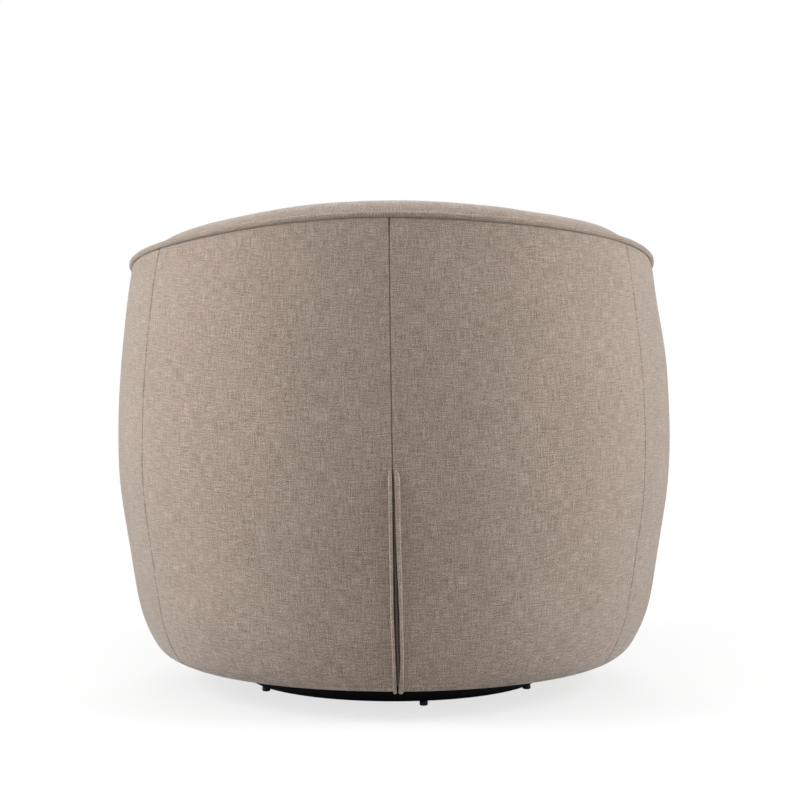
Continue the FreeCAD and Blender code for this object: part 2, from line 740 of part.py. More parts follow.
# Outer cover panels, each backed by its own bonded padding down to the frame.
apron_side = side_view(0.0, 0.0, deck_pad_top)
front_turn = size("front_seam_angle")
hem_hole = Part.makeCylinder(size("hem_inner_radius"), board_top)
wall = barrel.cut(frame_solid).cut(hem_hole).common(apron_side)
panel_turns = {
    "cover_back_left": (0.0, side_turn),
    "cover_side_left": (side_turn, front_turn),
    "cover_front": (front_turn, 360 - front_turn),
    "cover_side_right": (360 - front_turn, 360 - side_turn),
    "cover_back_right": (360 - side_turn, 360.0),
}
for label, (first, last) in panel_turns.items():
    feature(label, wall.common(wedge(first + half_gap, last - first - 2 * half_gap)))

# Dust cloth under the bottom board, between the hem and the swivel plate.
dust = prism(8, size("hem_inner_radius") - size("seam_gap"),
             Vector(0, 0, board_bottom - size("dust_cloth")), size("dust_cloth"), 22.5)
dust = dust.cut(prism(8, size("board_hole_radius"), Vector(0, 0, 0), sky, 22.5))
for at in corner_screws():
    dust = dust.cut(prism(8, size("screw_shank_diameter") / 2, at, sky))
feature("dust_cloth", dust)


# Rim: a crowned pad from arm front to arm front, lofted across the top of the wall.
def rim_station(outer, inner, lean):
    """Section of the rim pad: a chord on the wall's top and an arc over it, in short straights."""
    chord = inner - outer
    half = chord.Length / 2
    chord.normalize()
    up = (lean - chord * lean.dot(chord)).normalize()
    crown_radius = (half ** 2 + size("rim_crown") ** 2) / (2 * size("rim_crown"))
    centre = (outer + inner) * 0.5 + up * (size("rim_crown") - crown_radius)
    spread = math.degrees(math.asin(min(1.0, half / crown_radius)))
    corners = []
    for step in range(RIM_STRAIGHTS + 1):
        turn = spread * (2 * step / RIM_STRAIGHTS - 1)
        corners.append(centre + chord * (crown_radius * sin(turn)) + up * (crown_radius * cos(turn)))
    return Part.makePolygon(corners + corners[:1])


def outer_rim(turn):
    """Point of the barrel's outer rim at an angle from the centre of the back."""
    height = size("rim_height")
    for _ in range(40):
        radius = barrel_radius_at(height)
        height = (height + rim_height_at(radius * cos(turn))) / 2
    return on_circle(barrel_radius_at(height), turn, height)


def side_lean(y):
    """Upward normal of the rim in side view."""
    points = rim_points()
    if y > points["sweep"][0]:
        slope = math.degrees(math.asin((y - points["sweep_centre"][0]) / size("rim_sweep_round")))
    else:
        slope = size("rim_slope")
    return Vector(0, -sin(slope), cos(slope))


drop_centre = rim_points()["drop_centre"]
start_y = size("arm_drop_start")
start_turn = math.degrees(math.acos(start_y / barrel_radius_at(rim_height_at(start_y))))
back_stations = [start_turn * number / BACK_STATIONS for number in range(BACK_STATIONS + 1)]


def inner_rim(turn, outer):
    """Point of the bucket's edge that faces an outer rim point."""
    if turn <= 90:
        radius = size("bucket_radius")
        y = size("bucket_shift") + radius * cos(turn)
        return Vector(-radius * sin(turn), y, rim_height_at(y))
    y = outer.y + size("bucket_shift") * max(0.0, (start_turn - turn) / (start_turn - 90))
    return Vector(-bucket_x(y), y, rim_height_at(y))


def drop_station(turn):
    """Outer point, inner point and normal on the round of the arm, at a turn of the side view."""
    radius = size("arm_drop_round")
    y = drop_centre[0] - radius * sin(turn)
    z = drop_centre[1] + radius * cos(turn)
    half = math.sqrt(barrel_radius_at(z) ** 2 - y ** 2)
    return Vector(-half, y, z), Vector(-bucket_x(y), y, z), Vector(0, -sin(turn), cos(turn))


def front_station(height):
    y = arm_front_y(height)
    half = math.sqrt(barrel_radius_at(height) ** 2 - y ** 2)
    turn = size("arm_front_turn")
    return Vector(-half, y, height), Vector(-bucket_x(y), y, height), Vector(0, -sin(turn), cos(turn))


stations = []
for turn in back_stations:
    outer = outer_rim(turn)
    inner = inner_rim(turn, outer)
    stations.append((outer, inner, side_lean((outer.y + inner.y) / 2)))
drop_sweep = size("arm_front_turn") - size("rim_slope")
drop_turns = [size("rim_slope") + drop_sweep * part / DROP_STATIONS for part in range(1, DROP_STATIONS + 1)]
stations += [drop_station(turn) for turn in drop_turns]
foot_outer, foot_inner, _ = front_station(size("deck_height"))
stations.append((foot_outer, foot_inner, Vector(0, -1, 0)))


def mirrored(point):
    return Vector(-point.x, point.y, point.z)


left_wires = [rim_station(*station) for station in stations]
right_wires = [rim_station(mirrored(outer), mirrored(inner), lean)
               for outer, inner, lean in reversed(stations[1:])]
feature("rim_padding", Part.makeLoft(right_wires + left_wires, True, True))


def six_sided(radius, centre, direction):
    """Six-sided outline square to a direction, with a flat towards and away from the swivel axis."""
    side = direction.cross(Vector(0, 0, 1))
    if side.Length < 0.01:
        side = Vector(1, 0, 0)
    side.normalize()
    up = side.cross(direction).normalize()
    corners = [centre + side * (radius * cos(30 + 60 * k)) + up * (radius * sin(30 + 60 * k))
               for k in range(6)]
    return Part.makePolygon(corners + corners[:1])


# Welt along the outer edge of the rim, six-sided, its flat on the cover panels.
welt_points = [station[0] for station in stations]
welt_points = [mirrored(point) for point in reversed(welt_points[1:])] + welt_points
welt_out = size("welt_diameter") / 2 * cos(30) + size("welt_stand_off")
welt_points = [point + Vector(point.x, point.y, 0).normalize() * welt_out for point in welt_points]
welt_wires = []
for number, point in enumerate(welt_points):
    before = welt_points[max(number - 1, 0)]
    after = welt_points[min(number + 1, len(welt_points) - 1)]
    direction = after - before
    if number in (0, len(welt_points) - 1):
        direction = Vector(0, 0, 1 if number == 0 else -1)
    welt_wires.append(six_sided(size("welt_diameter") / 2, point, direction.normalize()))
welt_loft = Part.makeLoft(welt_wires, True, True)
feature("rim_welt", welt_loft.cut(Part.makeCompound([barrel, pieces["rim_padding"].Shape])))

# Zip closure: two raised lips of cover cloth, the coil between them and its slider.
def zip_strip(raised, first_x, width, low, high):
    """Upright strip down the back that stands proud of the cover by raised."""
    strip = Part.makeBox(width, reach, high - low, Vector(first_x, 0, low))
    strip = stacked_solid(barrel_points(-raised), BARREL_SIDES).common(strip)
    return strip.cut(barrel)


lip_width, lip_raise = size("zip_lip_width"), size("zip_lip_raise")
zip_half = size("zip_lip_inner")
hem_low, zip_top = size("zip_hem_height"), size("zip_top_height")
slider_low = zip_top - size("zip_slider_length")
coil_width = size("zip_coil_width")
feature("zip_lip_left", zip_strip(lip_raise, -zip_half - lip_width, lip_width, hem_low, zip_top))
feature("zip_lip_right", zip_strip(lip_raise, zip_half, lip_width, hem_low, zip_top))
feature("zip_coil", zip_strip(size("zip_coil_raise"), -coil_width / 2, coil_width, hem_low, slider_low))
feature("zip_slider", zip_strip(lip_raise, -coil_width * 0.8, coil_width * 1.6, slider_low, zip_top))


# Loose seat cushion: drawn-in boxing between two welts, crowned above, eased below.
def swept(centre, start, end, steps):
    """Points along a level arc about centre, from start up to but not at end."""
    radius = start.distanceToPoint(centre)
    first = math.atan2(start.y - centre.y, start.x - centre.x)
    turn = math.atan2(end.y - centre.y, end.x - centre.x) - first
    turn = (turn + math.pi) % (2 * math.pi) - math.pi
    angles = [first + turn * step / steps for step in range(steps)]
    return [centre + Vector(radius * math.cos(angle), radius * math.sin(angle), 0) for angle in angles]


def cushion_outline(inset, height):
    """Cushion seen from above: round back, long side arcs, rounded front corners, round front."""
    shift = size("bucket_shift")
    gap = size("cushion_gap") + inset
    back = size("bucket_radius") - gap
    side = size("arm_inner_round") - gap
    front = size("cushion_front_radius") - inset
    corner = size("cushion_corner_round")
    side_centre = Vector(size("bucket_radius") - size("arm_inner_round"), shift, 0)
    far, near = side - corner, front - corner
    span = side_centre.Length
    along = (near ** 2 - far ** 2 + span ** 2) / (2 * span)
    across = math.sqrt(near ** 2 - along ** 2)
    towards = side_centre * (1 / span)
    square = Vector(-towards.y, towards.x, 0)
    corner_centre = towards * along + square * across
    if corner_centre.y > 0:
        corner_centre = towards * along - square * across
    on_side = side_centre + (corner_centre - side_centre).normalize() * side
    on_front = corner_centre.normalize() * front
    corner_centre = on_front * (near / front)
    half = swept(Vector(0, shift, 0), Vector(0, shift + back, 0), Vector(back, shift, 0), 8)
    half += swept(side_centre, Vector(back, shift, 0), on_side, 4)
    half += swept(corner_centre, on_side, on_front, 4)
    half += swept(Vector(0, 0, 0), on_front, Vector(0, -front, 0), 4)
    half.append(Vector(0, -front, 0))
    outline = half + [Vector(-point.x, point.y, 0) for point in reversed(half[1:-1])]
    outline = [Vector(point.x, point.y, height) for point in outline]
    return Part.makePolygon(outline + outline[:1])


cushion_bottom = size("deck_height") + size("cushion_rest_gap")
foot_round = size("cushion_foot_round")
edge_top = cushion_bottom + size("cushion_edge_height")
edge_low = cushion_bottom + foot_round
crown = size("cushion_crown")
welt_half = size("cushion_welt_diameter") / 2
draw_in = size("cushion_draw_in")
crown_steps = [(welt_half, 0.0), (24.0, 0.42), (60.0, 0.78), (130.0, 1.0)]
rings = [(welt_half + 2.5 * foot_round, cushion_bottom), (welt_half, edge_low)]
edge_span = edge_top - edge_low
rings += [(welt_half + draw_in * depth, edge_low + edge_span * rise)
          for rise, depth in ((0.3, 0.9), (0.7, 0.9))]
rings += [(inset, edge_top + crown * rise) for inset, rise in crown_steps]
cushion = Part.makeLoft([cushion_outline(inset, height) for inset, height in rings], True, True)


def cushion_welt(height):
    """Welt round an edge of the cushion, four-sided, a flat corner on the seam."""
    outer = Part.Face(cushion_outline(-welt_half * 0.2, height - welt_half * 0.6))
    inner = Part.Face(cushion_outline(welt_half, height - welt_half * 0.6))
    return outer.cut(inner).extrude(Vector(0, 0, welt_half * 1.2))


feature("cushion_welt_upper", cushion_welt(edge_top))
feature("cushion_welt_lower", cushion_welt(edge_low))
feature("seat_cushion", cushion)

doc.recompute()
failed = [item.Label for item in doc.Objects if "Invalid" in item.State or "Error" in item.State]
if failed:
    raise RuntimeError("these did not build: " + ", ".join(failed))
os.makedirs("parts", exist_ok=True)
for label, item in pieces.items():
    shape = item.Shape
    if shape.isNull() or not shape.isValid() or not shape.Solids:
        raise RuntimeError("bad shape: " + label)
    shape.exportStep(os.path.join("parts", label + ".step"))
    print("%-26s %d solid(s) %10.1f cm3" % (label, len(shape.Solids), shape.Volume / 1000))
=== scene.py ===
# %% [markdown]
# A swivel barrel chair: a round tub covered in a heathered linen weave, on a low black plinth.
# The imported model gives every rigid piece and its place. This file dresses it: it wraps cloth round
# the barrel, pads the rim, stuffs the seat cushion and gives every piece its finish.

# %% Load the frame
import math

import bpy
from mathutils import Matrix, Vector, noise


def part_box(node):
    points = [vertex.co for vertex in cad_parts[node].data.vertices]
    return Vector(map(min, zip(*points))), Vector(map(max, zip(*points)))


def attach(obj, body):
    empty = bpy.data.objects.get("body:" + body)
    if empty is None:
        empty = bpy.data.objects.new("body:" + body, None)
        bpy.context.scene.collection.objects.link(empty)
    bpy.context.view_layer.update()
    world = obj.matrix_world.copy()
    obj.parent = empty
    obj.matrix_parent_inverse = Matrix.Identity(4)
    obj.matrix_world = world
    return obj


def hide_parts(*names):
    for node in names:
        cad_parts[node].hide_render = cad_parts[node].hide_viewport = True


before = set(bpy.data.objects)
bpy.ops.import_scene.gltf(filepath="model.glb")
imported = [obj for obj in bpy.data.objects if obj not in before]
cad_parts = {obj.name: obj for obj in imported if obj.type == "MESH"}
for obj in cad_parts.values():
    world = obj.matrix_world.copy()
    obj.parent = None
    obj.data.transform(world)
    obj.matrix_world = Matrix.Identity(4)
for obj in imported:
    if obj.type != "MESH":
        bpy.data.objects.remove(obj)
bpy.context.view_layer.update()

# %% [markdown]
# The photograph was taken from behind with a long lens, a little above the rim. A long lens keeps
# the ellipses of the rim and the hem flat, so the distance matters as much as the height.

# %% Camera
CAMERA_DISTANCE = 5.0
CAMERA_HEIGHT = 0.92
CAMERA_SIDE = -0.0085
CAMERA_PITCH = 5.89
FOCAL_PIXELS = 3521.0
IMAGE_PIXELS = 800.0
SENSOR = 36.0

camera_data = bpy.data.cameras.new("camera")
camera_data.sensor_width = SENSOR
camera_data.lens = SENSOR * FOCAL_PIXELS / IMAGE_PIXELS
camera = bpy.data.objects.new("camera", camera_data)
camera.location = (CAMERA_SIDE, CAMERA_DISTANCE, CAMERA_HEIGHT)
camera.rotation_euler = (math.radians(90 - CAMERA_PITCH), 0, math.radians(180))
bpy.context.collection.objects.link(camera)
bpy.context.scene.camera = camera
bpy.context.scene.view_settings.view_transform = "Standard"
print("camera lens", round(camera_data.lens, 1))

# %% [markdown]
# The barrel's side is a chain of tangent arcs: a tight one at the hem, a wider one at the skirt, a
# straight flank, and two very wide ones at the belly and the shoulder. All new cloth follows it, so
# its radius at any height is worked out once here. Sizes are in metres.

# %% The barrel's side
BARREL_RADIUS = 0.3925
BARREL_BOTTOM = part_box("cover_front")[0].z
HEM_ROUND, HEM_TURN = 0.0507, 59.2
SKIRT_ROUND, SKIRT_TURN = 0.2006, 81.2
FLANK_LENGTH = 0.1124
BELLY_ROUND = 0.611
SHOULDER_ROUND = 1.5486
HEM_INNER_RADIUS, HEM_MIDDLE_RADIUS, HEM_EDGE = 0.250, 0.275, 0.004


def sin(degrees):
    return math.sin(math.radians(degrees))


def cos(degrees):
    return math.cos(math.radians(degrees))


run = HEM_ROUND * sin(HEM_TURN) + SKIRT_ROUND * (sin(SKIRT_TURN) - sin(HEM_TURN))
run += FLANK_LENGTH * cos(SKIRT_TURN) + BELLY_ROUND * (1 - sin(SKIRT_TURN))
hem_r = BARREL_RADIUS - run
hem_z = BARREL_BOTTOM + HEM_ROUND
skirt_r = hem_r + (HEM_ROUND - SKIRT_ROUND) * sin(HEM_TURN)
skirt_z = hem_z - (HEM_ROUND - SKIRT_ROUND) * cos(HEM_TURN)
belly_r = BARREL_RADIUS - BELLY_ROUND
belly_z = skirt_z - SKIRT_ROUND * cos(SKIRT_TURN) + FLANK_LENGTH * sin(SKIRT_TURN)
belly_z += BELLY_ROUND * cos(SKIRT_TURN)
shoulder_r = BARREL_RADIUS - SHOULDER_ROUND
ARCS = [
    (hem_r, hem_z, HEM_ROUND, 0.0, HEM_TURN),
    (skirt_r, skirt_z, SKIRT_ROUND, HEM_TURN, SKIRT_TURN),
    (belly_r, belly_z, BELLY_ROUND, SKIRT_TURN, 90.0),
    (shoulder_r, belly_z, SHOULDER_ROUND, 90.0, 106.0),
]


def barrel_radius(height):
    """Radius of the barrel's outside at a height."""
    for centre_r, centre_z, radius, first, last in ARCS:
        if centre_z - radius * cos(first) <= height <= centre_z - radius * cos(last):
            return centre_r + math.sqrt(radius ** 2 - (height - centre_z) ** 2)
    low_r = skirt_r + SKIRT_ROUND * sin(SKIRT_TURN)
    low_z = skirt_z - SKIRT_ROUND * cos(SKIRT_TURN)
    return low_r + (height - low_z) / math.tan(math.radians(SKIRT_TURN))


def ease(share):
    share = max(0.0, min(1.0, share))
    return share * share * (3 - 2 * share)


def between(amount, turn, start, rise, end, fall):
    """The amount between two angles, growing from nothing and shrinking to nothing at its ends."""
    return amount * ease((turn - start) / rise) * ease((end - turn) / fall)


SHOULDER_PULL, PULL_FROM, PULL_RISE = 0.0060, 0.45, 0.12


def shoulder_pull(turn, height):
    """The cloth of one shoulder is pulled in a little more than the other's, as in the photograph."""
    return between(SHOULDER_PULL * ease((height - PULL_FROM) / PULL_RISE), turn, 48, 34, 146, 30)


def on_barrel(turn, height, out=0.0):
    """Point on the barrel at an angle from the centre of the back, moved outwards by out."""
    radius = barrel_radius(height) + out - shoulder_pull(turn, height)
    return Vector((-radius * sin(turn), radius * cos(turn), height))


print("barrel radius at 0.1, 0.3, 0.6 m:", [round(barrel_radius(z), 4) for z in (0.1, 0.3, 0.6)])

# %% [markdown]
# Seen from the side the rim slopes down from the back to the arms, sweeps up a little at the back,
# and rounds down at the front of each arm. The rim line is where that side view meets the barrel.

# %% The rim line
RIM_HEIGHT, RIM_SLOPE = 0.5916, 13.2
SWEEP_START, SWEEP_ROUND = 0.200, 1.320
DROP_START, DROP_ROUND, ARM_FRONT_TURN = -0.130, 0.150, 80.0
DECK_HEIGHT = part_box("deck_cloth")[1].z
BACK_STEPS, ROUND_STEPS, FRONT_STEPS = 60, 24, 8

slope_rise = math.tan(math.radians(RIM_SLOPE))
sweep_y = SWEEP_START - SWEEP_ROUND * sin(RIM_SLOPE)
sweep_z = RIM_HEIGHT + slope_rise * SWEEP_START + SWEEP_ROUND * cos(RIM_SLOPE)
drop_y = DROP_START + DROP_ROUND * sin(RIM_SLOPE)
drop_z = RIM_HEIGHT + slope_rise * DROP_START - DROP_ROUND * cos(RIM_SLOPE)
arm_top_y = drop_y - DROP_ROUND * sin(ARM_FRONT_TURN)
arm_top_z = drop_z + DROP_ROUND * cos(ARM_FRONT_TURN)


def side_height(y):
    """Height of the rim in side view, behind the round of the arm."""
    if y <= SWEEP_START:
        return RIM_HEIGHT + slope_rise * y
    return sweep_z - math.sqrt(SWEEP_ROUND ** 2 - (y - sweep_y) ** 2)


def arm_front_y(height):
    return arm_top_y - (arm_top_z - height) / math.tan(math.radians(ARM_FRONT_TURN))


def turn_at(y, height):
    """Angle from the centre of the back at which the barrel has a y at a height."""
    return math.degrees(math.acos(max(-1.0, min(1.0, y / barrel_radius(height)))))


start_turn = turn_at(DROP_START, side_height(DROP_START))
rim_line = []
for step in range(BACK_STEPS + 1):
    turn = start_turn * step / BACK_STEPS
    height = RIM_HEIGHT
    # The height hangs on the radius and the radius on the height, so they are closed in on in turns.
    for _ in range(40):
        height = (height + side_height(barrel_radius(height) * cos(turn))) / 2
    y = barrel_radius(height) * cos(turn)
    lean = RIM_SLOPE if y <= SWEEP_START else math.degrees(math.asin((y - sweep_y) / SWEEP_ROUND))
    rim_line.append((turn, height, lean))
for step in range(1, ROUND_STEPS + 1):
    lean = RIM_SLOPE + (ARM_FRONT_TURN - RIM_SLOPE) * step / ROUND_STEPS
    y, height = drop_y - DROP_ROUND * sin(lean), drop_z + DROP_ROUND * cos(lean)
    rim_line.append((turn_at(y, height), height, lean))
for step in range(1, FRONT_STEPS + 1):
    height = arm_top_z + (DECK_HEIGHT - arm_top_z) * step / FRONT_STEPS
    rim_line.append((turn_at(arm_front_y(height), height), height, ARM_FRONT_TURN))
foot_turn = rim_line[-1][0]
RIM_RAISE = 0.0065


def rim_raise(turn):
    """The shoulder that is pulled in also stands a little higher."""
    return between(RIM_RAISE, turn, 12, 45, 122, 45)


def rim_height(turn):
    """Height of the rim line at an angle from the centre of the back, either side."""
    for (t0, h0, _), (t1, h1, _) in zip(rim_line, rim_line[1:]):
        if abs(turn) <= t1:
            return h0 + (h1 - h0) * (abs(turn) - t0) / (t1 - t0) + rim_raise(turn)
    return DECK_HEIGHT


print("rim height at back, side, foot turn:", round(rim_height(0), 4), round(rim_height(90), 4),
      round(foot_turn, 1))

# %% [markdown]
# Most finishes are built from a few shared effects. A weave needs two crossing yarns that pass over
# and under each other, each yarn with its own shade and its thick and thin places. The group below
# takes a place on the cloth in metres and gives a tone and a height.

# %% Shared effects: weave
def add_node(tree, kind, inputs=(), **settings):
    made = tree.nodes.new(kind)
    for key, value in settings.items():
        setattr(made, key, value)
    for key, value in dict(inputs).items():
        if isinstance(value, bpy.types.NodeSocket):
            tree.links.new(value, made.inputs[key])
        else:
            made.inputs[key].default_value = value
    return made


def math_node(tree, operation, first, second=0.0, third=0.0):
    made = add_node(tree, "ShaderNodeMath", {0: first, 1: second, 2: third}, operation=operation)
    return made.outputs[0]


def new_group(name, takes, gives):
    """Empty shader group with its sockets: takes and gives map names to socket types."""
    group = bpy.data.node_groups.new(name, "ShaderNodeTree")
    for label, (kind, value) in takes.items():
        socket = group.interface.new_socket(label, in_out="INPUT", socket_type=kind)
        if value is not None:
            socket.default_value = value
    for label, kind in gives.items():
        group.interface.new_socket(label, in_out="OUTPUT", socket_type=kind)
    return group, group.nodes.new("NodeGroupInput").outputs, group.nodes.new("NodeGroupOutput").inputs


def scaled(tree, vector, across, along, deep=1.0):
    return add_node(tree, "ShaderNodeVectorMath", {0: vector, 1: (across, along, deep)},
                    operation="MULTIPLY").outputs[0]


def noise_of(tree, vector, scale, detail=3.0, roughness=0.5):
    return add_node(tree, "ShaderNodeTexNoise",
                    {"Vector": vector, "Scale": scale, "Detail": detail, "Roughness": roughness}
                    ).outputs["Fac"]


weave, taken, given = new_group(
    "linen_weave", {"Vector": ("NodeSocketVector", None), "Yarn": ("NodeSocketFloat", 0.0014)},
    {"Tone": "NodeSocketFloat", "Height": "NodeSocketFloat"})
inverse = math_node(weave, "DIVIDE", 1.0, taken["Yarn"])
wobble = add_node(weave, "ShaderNodeTexNoise", {"Vector": taken["Vector"], "Scale": 120.0, "Detail": 2.0})
bent = add_node(weave, "ShaderNodeVectorMath", {0: wobble.outputs["Color"], 1: (0.0012, 0.0012, 0.0012),
                                                2: taken["Vector"]}, operation="MULTIPLY_ADD").outputs[0]
counted = add_node(weave, "ShaderNodeVectorMath", {0: bent, "Scale": inverse}, operation="SCALE").outputs[0]
parts = add_node(weave, "ShaderNodeSeparateXYZ", {0: counted}).outputs
warp_number = math_node(weave, "FLOOR", parts["X"])
weft_number = math_node(weave, "FLOOR", parts["Y"])
over = math_node(weave, "PINGPONG", math_node(weave, "ADD", warp_number, weft_number), 1.0)
warp_round, weft_round = [
    math_node(weave, "SINE", math_node(weave, "MULTIPLY", math_node(weave, "FRACT", parts[axis]), math.pi))
    for axis in "XY"]
yarn_height = add_node(weave, "ShaderNodeMix", {0: over, 2: warp_round, 3: weft_round}, data_type="FLOAT")
warp_slub = noise_of(weave, scaled(weave, taken["Vector"], 620.0, 46.0), 1.0, 2.0)
weft_slub = noise_of(weave, scaled(weave, taken["Vector"], 46.0, 620.0), 1.0, 2.0)
slub = add_node(weave, "ShaderNodeMix", {0: over, 2: warp_slub, 3: weft_slub}, data_type="FLOAT")
heather = noise_of(weave, taken["Vector"], 620.0, 3.0, 0.7)
tone = math_node(weave, "MULTIPLY_ADD", slub.outputs[0], 1.2, math_node(weave, "MULTIPLY", heather, 1.6))
tone = math_node(weave, "MULTIPLY_ADD", yarn_height.outputs[0], 0.34,
                 math_node(weave, "SUBTRACT", tone, 1.15))
relief = math_node(weave, "MULTIPLY_ADD", slub.outputs[0], 0.5, yarn_height.outputs[0])
weave.links.new(tone, given["Tone"])
weave.links.new(relief, given["Height"])
print("weave group", len(weave.nodes), "nodes")

# %% [markdown]
# The chair's own cloth is a warm grey linen weave of light and dark yarns. It scatters light at
# grazing angles, so it has some sheen. The same cloth is used by every cover, welt and pad: panels
# read their own unwrapped lengths, and puffed pieces read their place in space. The welts take a
# copy darkened as painted shade, and the zip lips a copy lightened as painted highlight.

# %% Cloth materials
def material(name, roughness=0.5, metallic=0.0, **sockets):
    made = bpy.data.materials.new(name)
    made.use_nodes = True
    shader = made.node_tree.nodes["Principled BSDF"]
    shader.inputs["Roughness"].default_value = roughness
    shader.inputs["Metallic"].default_value = metallic
    for label, value in sockets.items():
        shader.inputs[label.replace("_", " ")].default_value = value
    return made, made.node_tree, shader


def ramp(tree, factor, stops):
    made = add_node(tree, "ShaderNodeValToRGB", {0: factor})
    elements = made.color_ramp.elements
    while len(elements) < len(stops):
        elements.new(0.5)
    for element, (place, colour) in zip(elements, stops):
        element.position = place
        element.color = (*colour, 1.0)
    return made.outputs[0]


def paint(tree, shader, factor, stops):
    tree.links.new(ramp(tree, factor, stops), shader.inputs["Base Color"])


def bump(tree, shader, height, strength, distance):
    made = add_node(tree, "ShaderNodeBump", {"Height": height, "Strength": strength, "Distance": distance})
    tree.links.new(made.outputs[0], shader.inputs["Normal"])


CLOTH_DARK = (0.120, 0.088, 0.067)
CLOTH_MID = (0.312, 0.243, 0.194)
CLOTH_LIGHT = (0.600, 0.505, 0.430)
TURN_TO_LENGTH = 0.30


def cloth_material(name, mapped, yarn=0.0014, painted_light_scale=1.0):
    """Linen weave: mapped is True where the piece has its own unwrapped lengths. painted_light_scale
    multiplies every colour: below 1 it paints shade, above 1 a highlight.
    """
    made, tree, shader = material(name, roughness=0.92, Sheen_Weight=0.38, Sheen_Roughness=0.45,
                                  Specular_IOR_Level=0.22)
    where = add_node(tree, "ShaderNodeTexCoord").outputs["UV" if mapped else "Object"]
    if not mapped:
        # A side face is read along its own turn and height, a top face from above.
        place = add_node(tree, "ShaderNodeSeparateXYZ", {0: where}).outputs
        normal = add_node(tree, "ShaderNodeSeparateXYZ",
                          {0: add_node(tree, "ShaderNodeTexCoord").outputs["Normal"]}).outputs
        angle = math_node(tree, "ARCTAN2", place["X"], place["Y"])
        around = math_node(tree, "MULTIPLY", angle, TURN_TO_LENGTH)
        side = add_node(tree, "ShaderNodeCombineXYZ", {0: around, 1: place["Z"]}).outputs[0]
        flat = math_node(tree, "GREATER_THAN", math_node(tree, "ABSOLUTE", normal["Z"]), 0.6)
        where = add_node(tree, "ShaderNodeMix", {0: flat, 4: side, 5: where}, data_type="VECTOR").outputs[1]
    woven = add_node(tree, "ShaderNodeGroup", node_tree=weave)
    tree.links.new(where, woven.inputs["Vector"])
    woven.inputs["Yarn"].default_value = yarn
    broad = noise_of(tree, where, 9.0, 2.0)
    tone = math_node(tree, "MULTIPLY_ADD", broad, 0.10,
                     math_node(tree, "SUBTRACT", woven.outputs["Tone"], 0.05))
    stops = [(0.06, CLOTH_DARK), (0.47, CLOTH_MID), (0.92, CLOTH_LIGHT)]
    paint(tree, shader, tone, [(place, tuple(c * painted_light_scale for c in tint)) for place, tint in stops])
    bump(tree, shader, woven.outputs["Height"], 0.35, 0.0005)
    return made


cloth_panel = cloth_material("linen_weave_panel", True)
cloth_puffed = cloth_material("linen_weave_puffed", False)
# The welts' copy of the cloth is darkened by 0.95 as painted shade.
cloth_welt_painted_shade = cloth_material("linen_weave_welt_painted_shade", True, 0.0011, 0.95)
# The zip lips' copy of the cloth is lightened by 1.10 as painted highlight on their folded edges.
cloth_lip_painted_highlight = cloth_material("linen_weave_lip_painted_highlight", True, 0.0011, 1.10)
print("cloth materials", cloth_panel.name, cloth_puffed.name, cloth_welt_painted_shade.name)

# %% [markdown]
# Some steps come back for every piece: pick it, name it, smooth it, give it its cloth and body. Each
# is written once here.

# %% Helpers for modelling
def deselect():
    if bpy.context.object and bpy.context.object.mode != "OBJECT":
        bpy.ops.object.mode_set(mode="OBJECT")
    bpy.ops.object.select_all(action="DESELECT")


def only(obj):
    deselect()
    bpy.context.view_layer.objects.active = obj
    obj.select_set(True)


def settle(obj, name):
    """Name a finished object and put its place into its mesh."""
    only(obj)
    obj.name = obj.data.name = name
    bpy.ops.object.transform_apply(location=True, rotation=True, scale=True)
    return obj


def select_faces(obj, accepts):
    """Select, in edit mode, the faces whose centre and normal are accepted."""
    bpy.ops.object.mode_set(mode="OBJECT")
    for face in obj.data.polygons:
        face.select = bool(accepts(face.center, face.normal))
    for edge in obj.data.edges:
        edge.select = False
    for vertex in obj.data.vertices:
        vertex.select = False
    for face in obj.data.polygons:
        if face.select:
            for index in face.vertices:
                obj.data.vertices[index].select = True
    bpy.ops.object.mode_set(mode="EDIT")
    bpy.ops.mesh.select_mode(type="FACE")


def apply_modifier(obj, kind, **settings):
    only(obj)
    made = obj.modifiers.new(kind.lower(), kind)
    for key, value in settings.items():
        setattr(made, key, value)
    bpy.ops.object.modifier_apply(modifier=made.name)


def subdivide(obj, **settings):
    apply_modifier(obj, "SUBSURF", levels=1, render_levels=1, **settings)


def face_outwards(obj):
    """Turn every face of a closed piece outwards."""
    only(obj)
    bpy.ops.object.mode_set(mode="EDIT")
    bpy.ops.mesh.select_all(action="SELECT")
    bpy.ops.mesh.normals_make_consistent(inside=False)
    bpy.ops.object.mode_set(mode="OBJECT")


def smooth(obj, degrees=40.0):
    only(obj)
    bpy.ops.object.shade_smooth_by_angle(angle=math.radians(degrees))


def count(obj):
    obj.data.calc_loop_triangles()
    return len(obj.data.loop_triangles)


def dress(obj, finish, slot, body, *nodes):
    """Give a finished piece its material and body, and hide the nodes it stands for. The slot argument is
    not used.
    """
    obj.data.materials.clear()
    obj.data.materials.append(finish)
    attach(obj, body)
    if nodes:
        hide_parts(*nodes)
    print(obj.name, count(obj), "triangles on", body)


def unwrap_by(obj, lengths):
    """Fill the piece's UV map with lengths in metres, worked out from each corner's place."""
    while obj.data.uv_layers:
        obj.data.uv_layers.remove(obj.data.uv_layers[0])
    layer = obj.data.uv_layers.new(name="cloth")
    for face in obj.data.polygons:
        for index in face.loop_indices:
            place = obj.data.vertices[obj.data.loops[index].vertex_index].co
            layer.data[index].uv = lengths(place, face.center)


print("helpers ready")

# %% [markdown]
# The covers are cut flat and sewn edge to edge. Here one ring is extruded up the barrel, as on a
# lathe, and its upper rows are pulled to the rim line. All the cover panels are sectors of it.

# %% The barrel ring
BARREL_COLUMNS, ROW_HEIGHT = 360, 0.018
FIXED_BELOW = 0.120
RING_TOP = 0.700

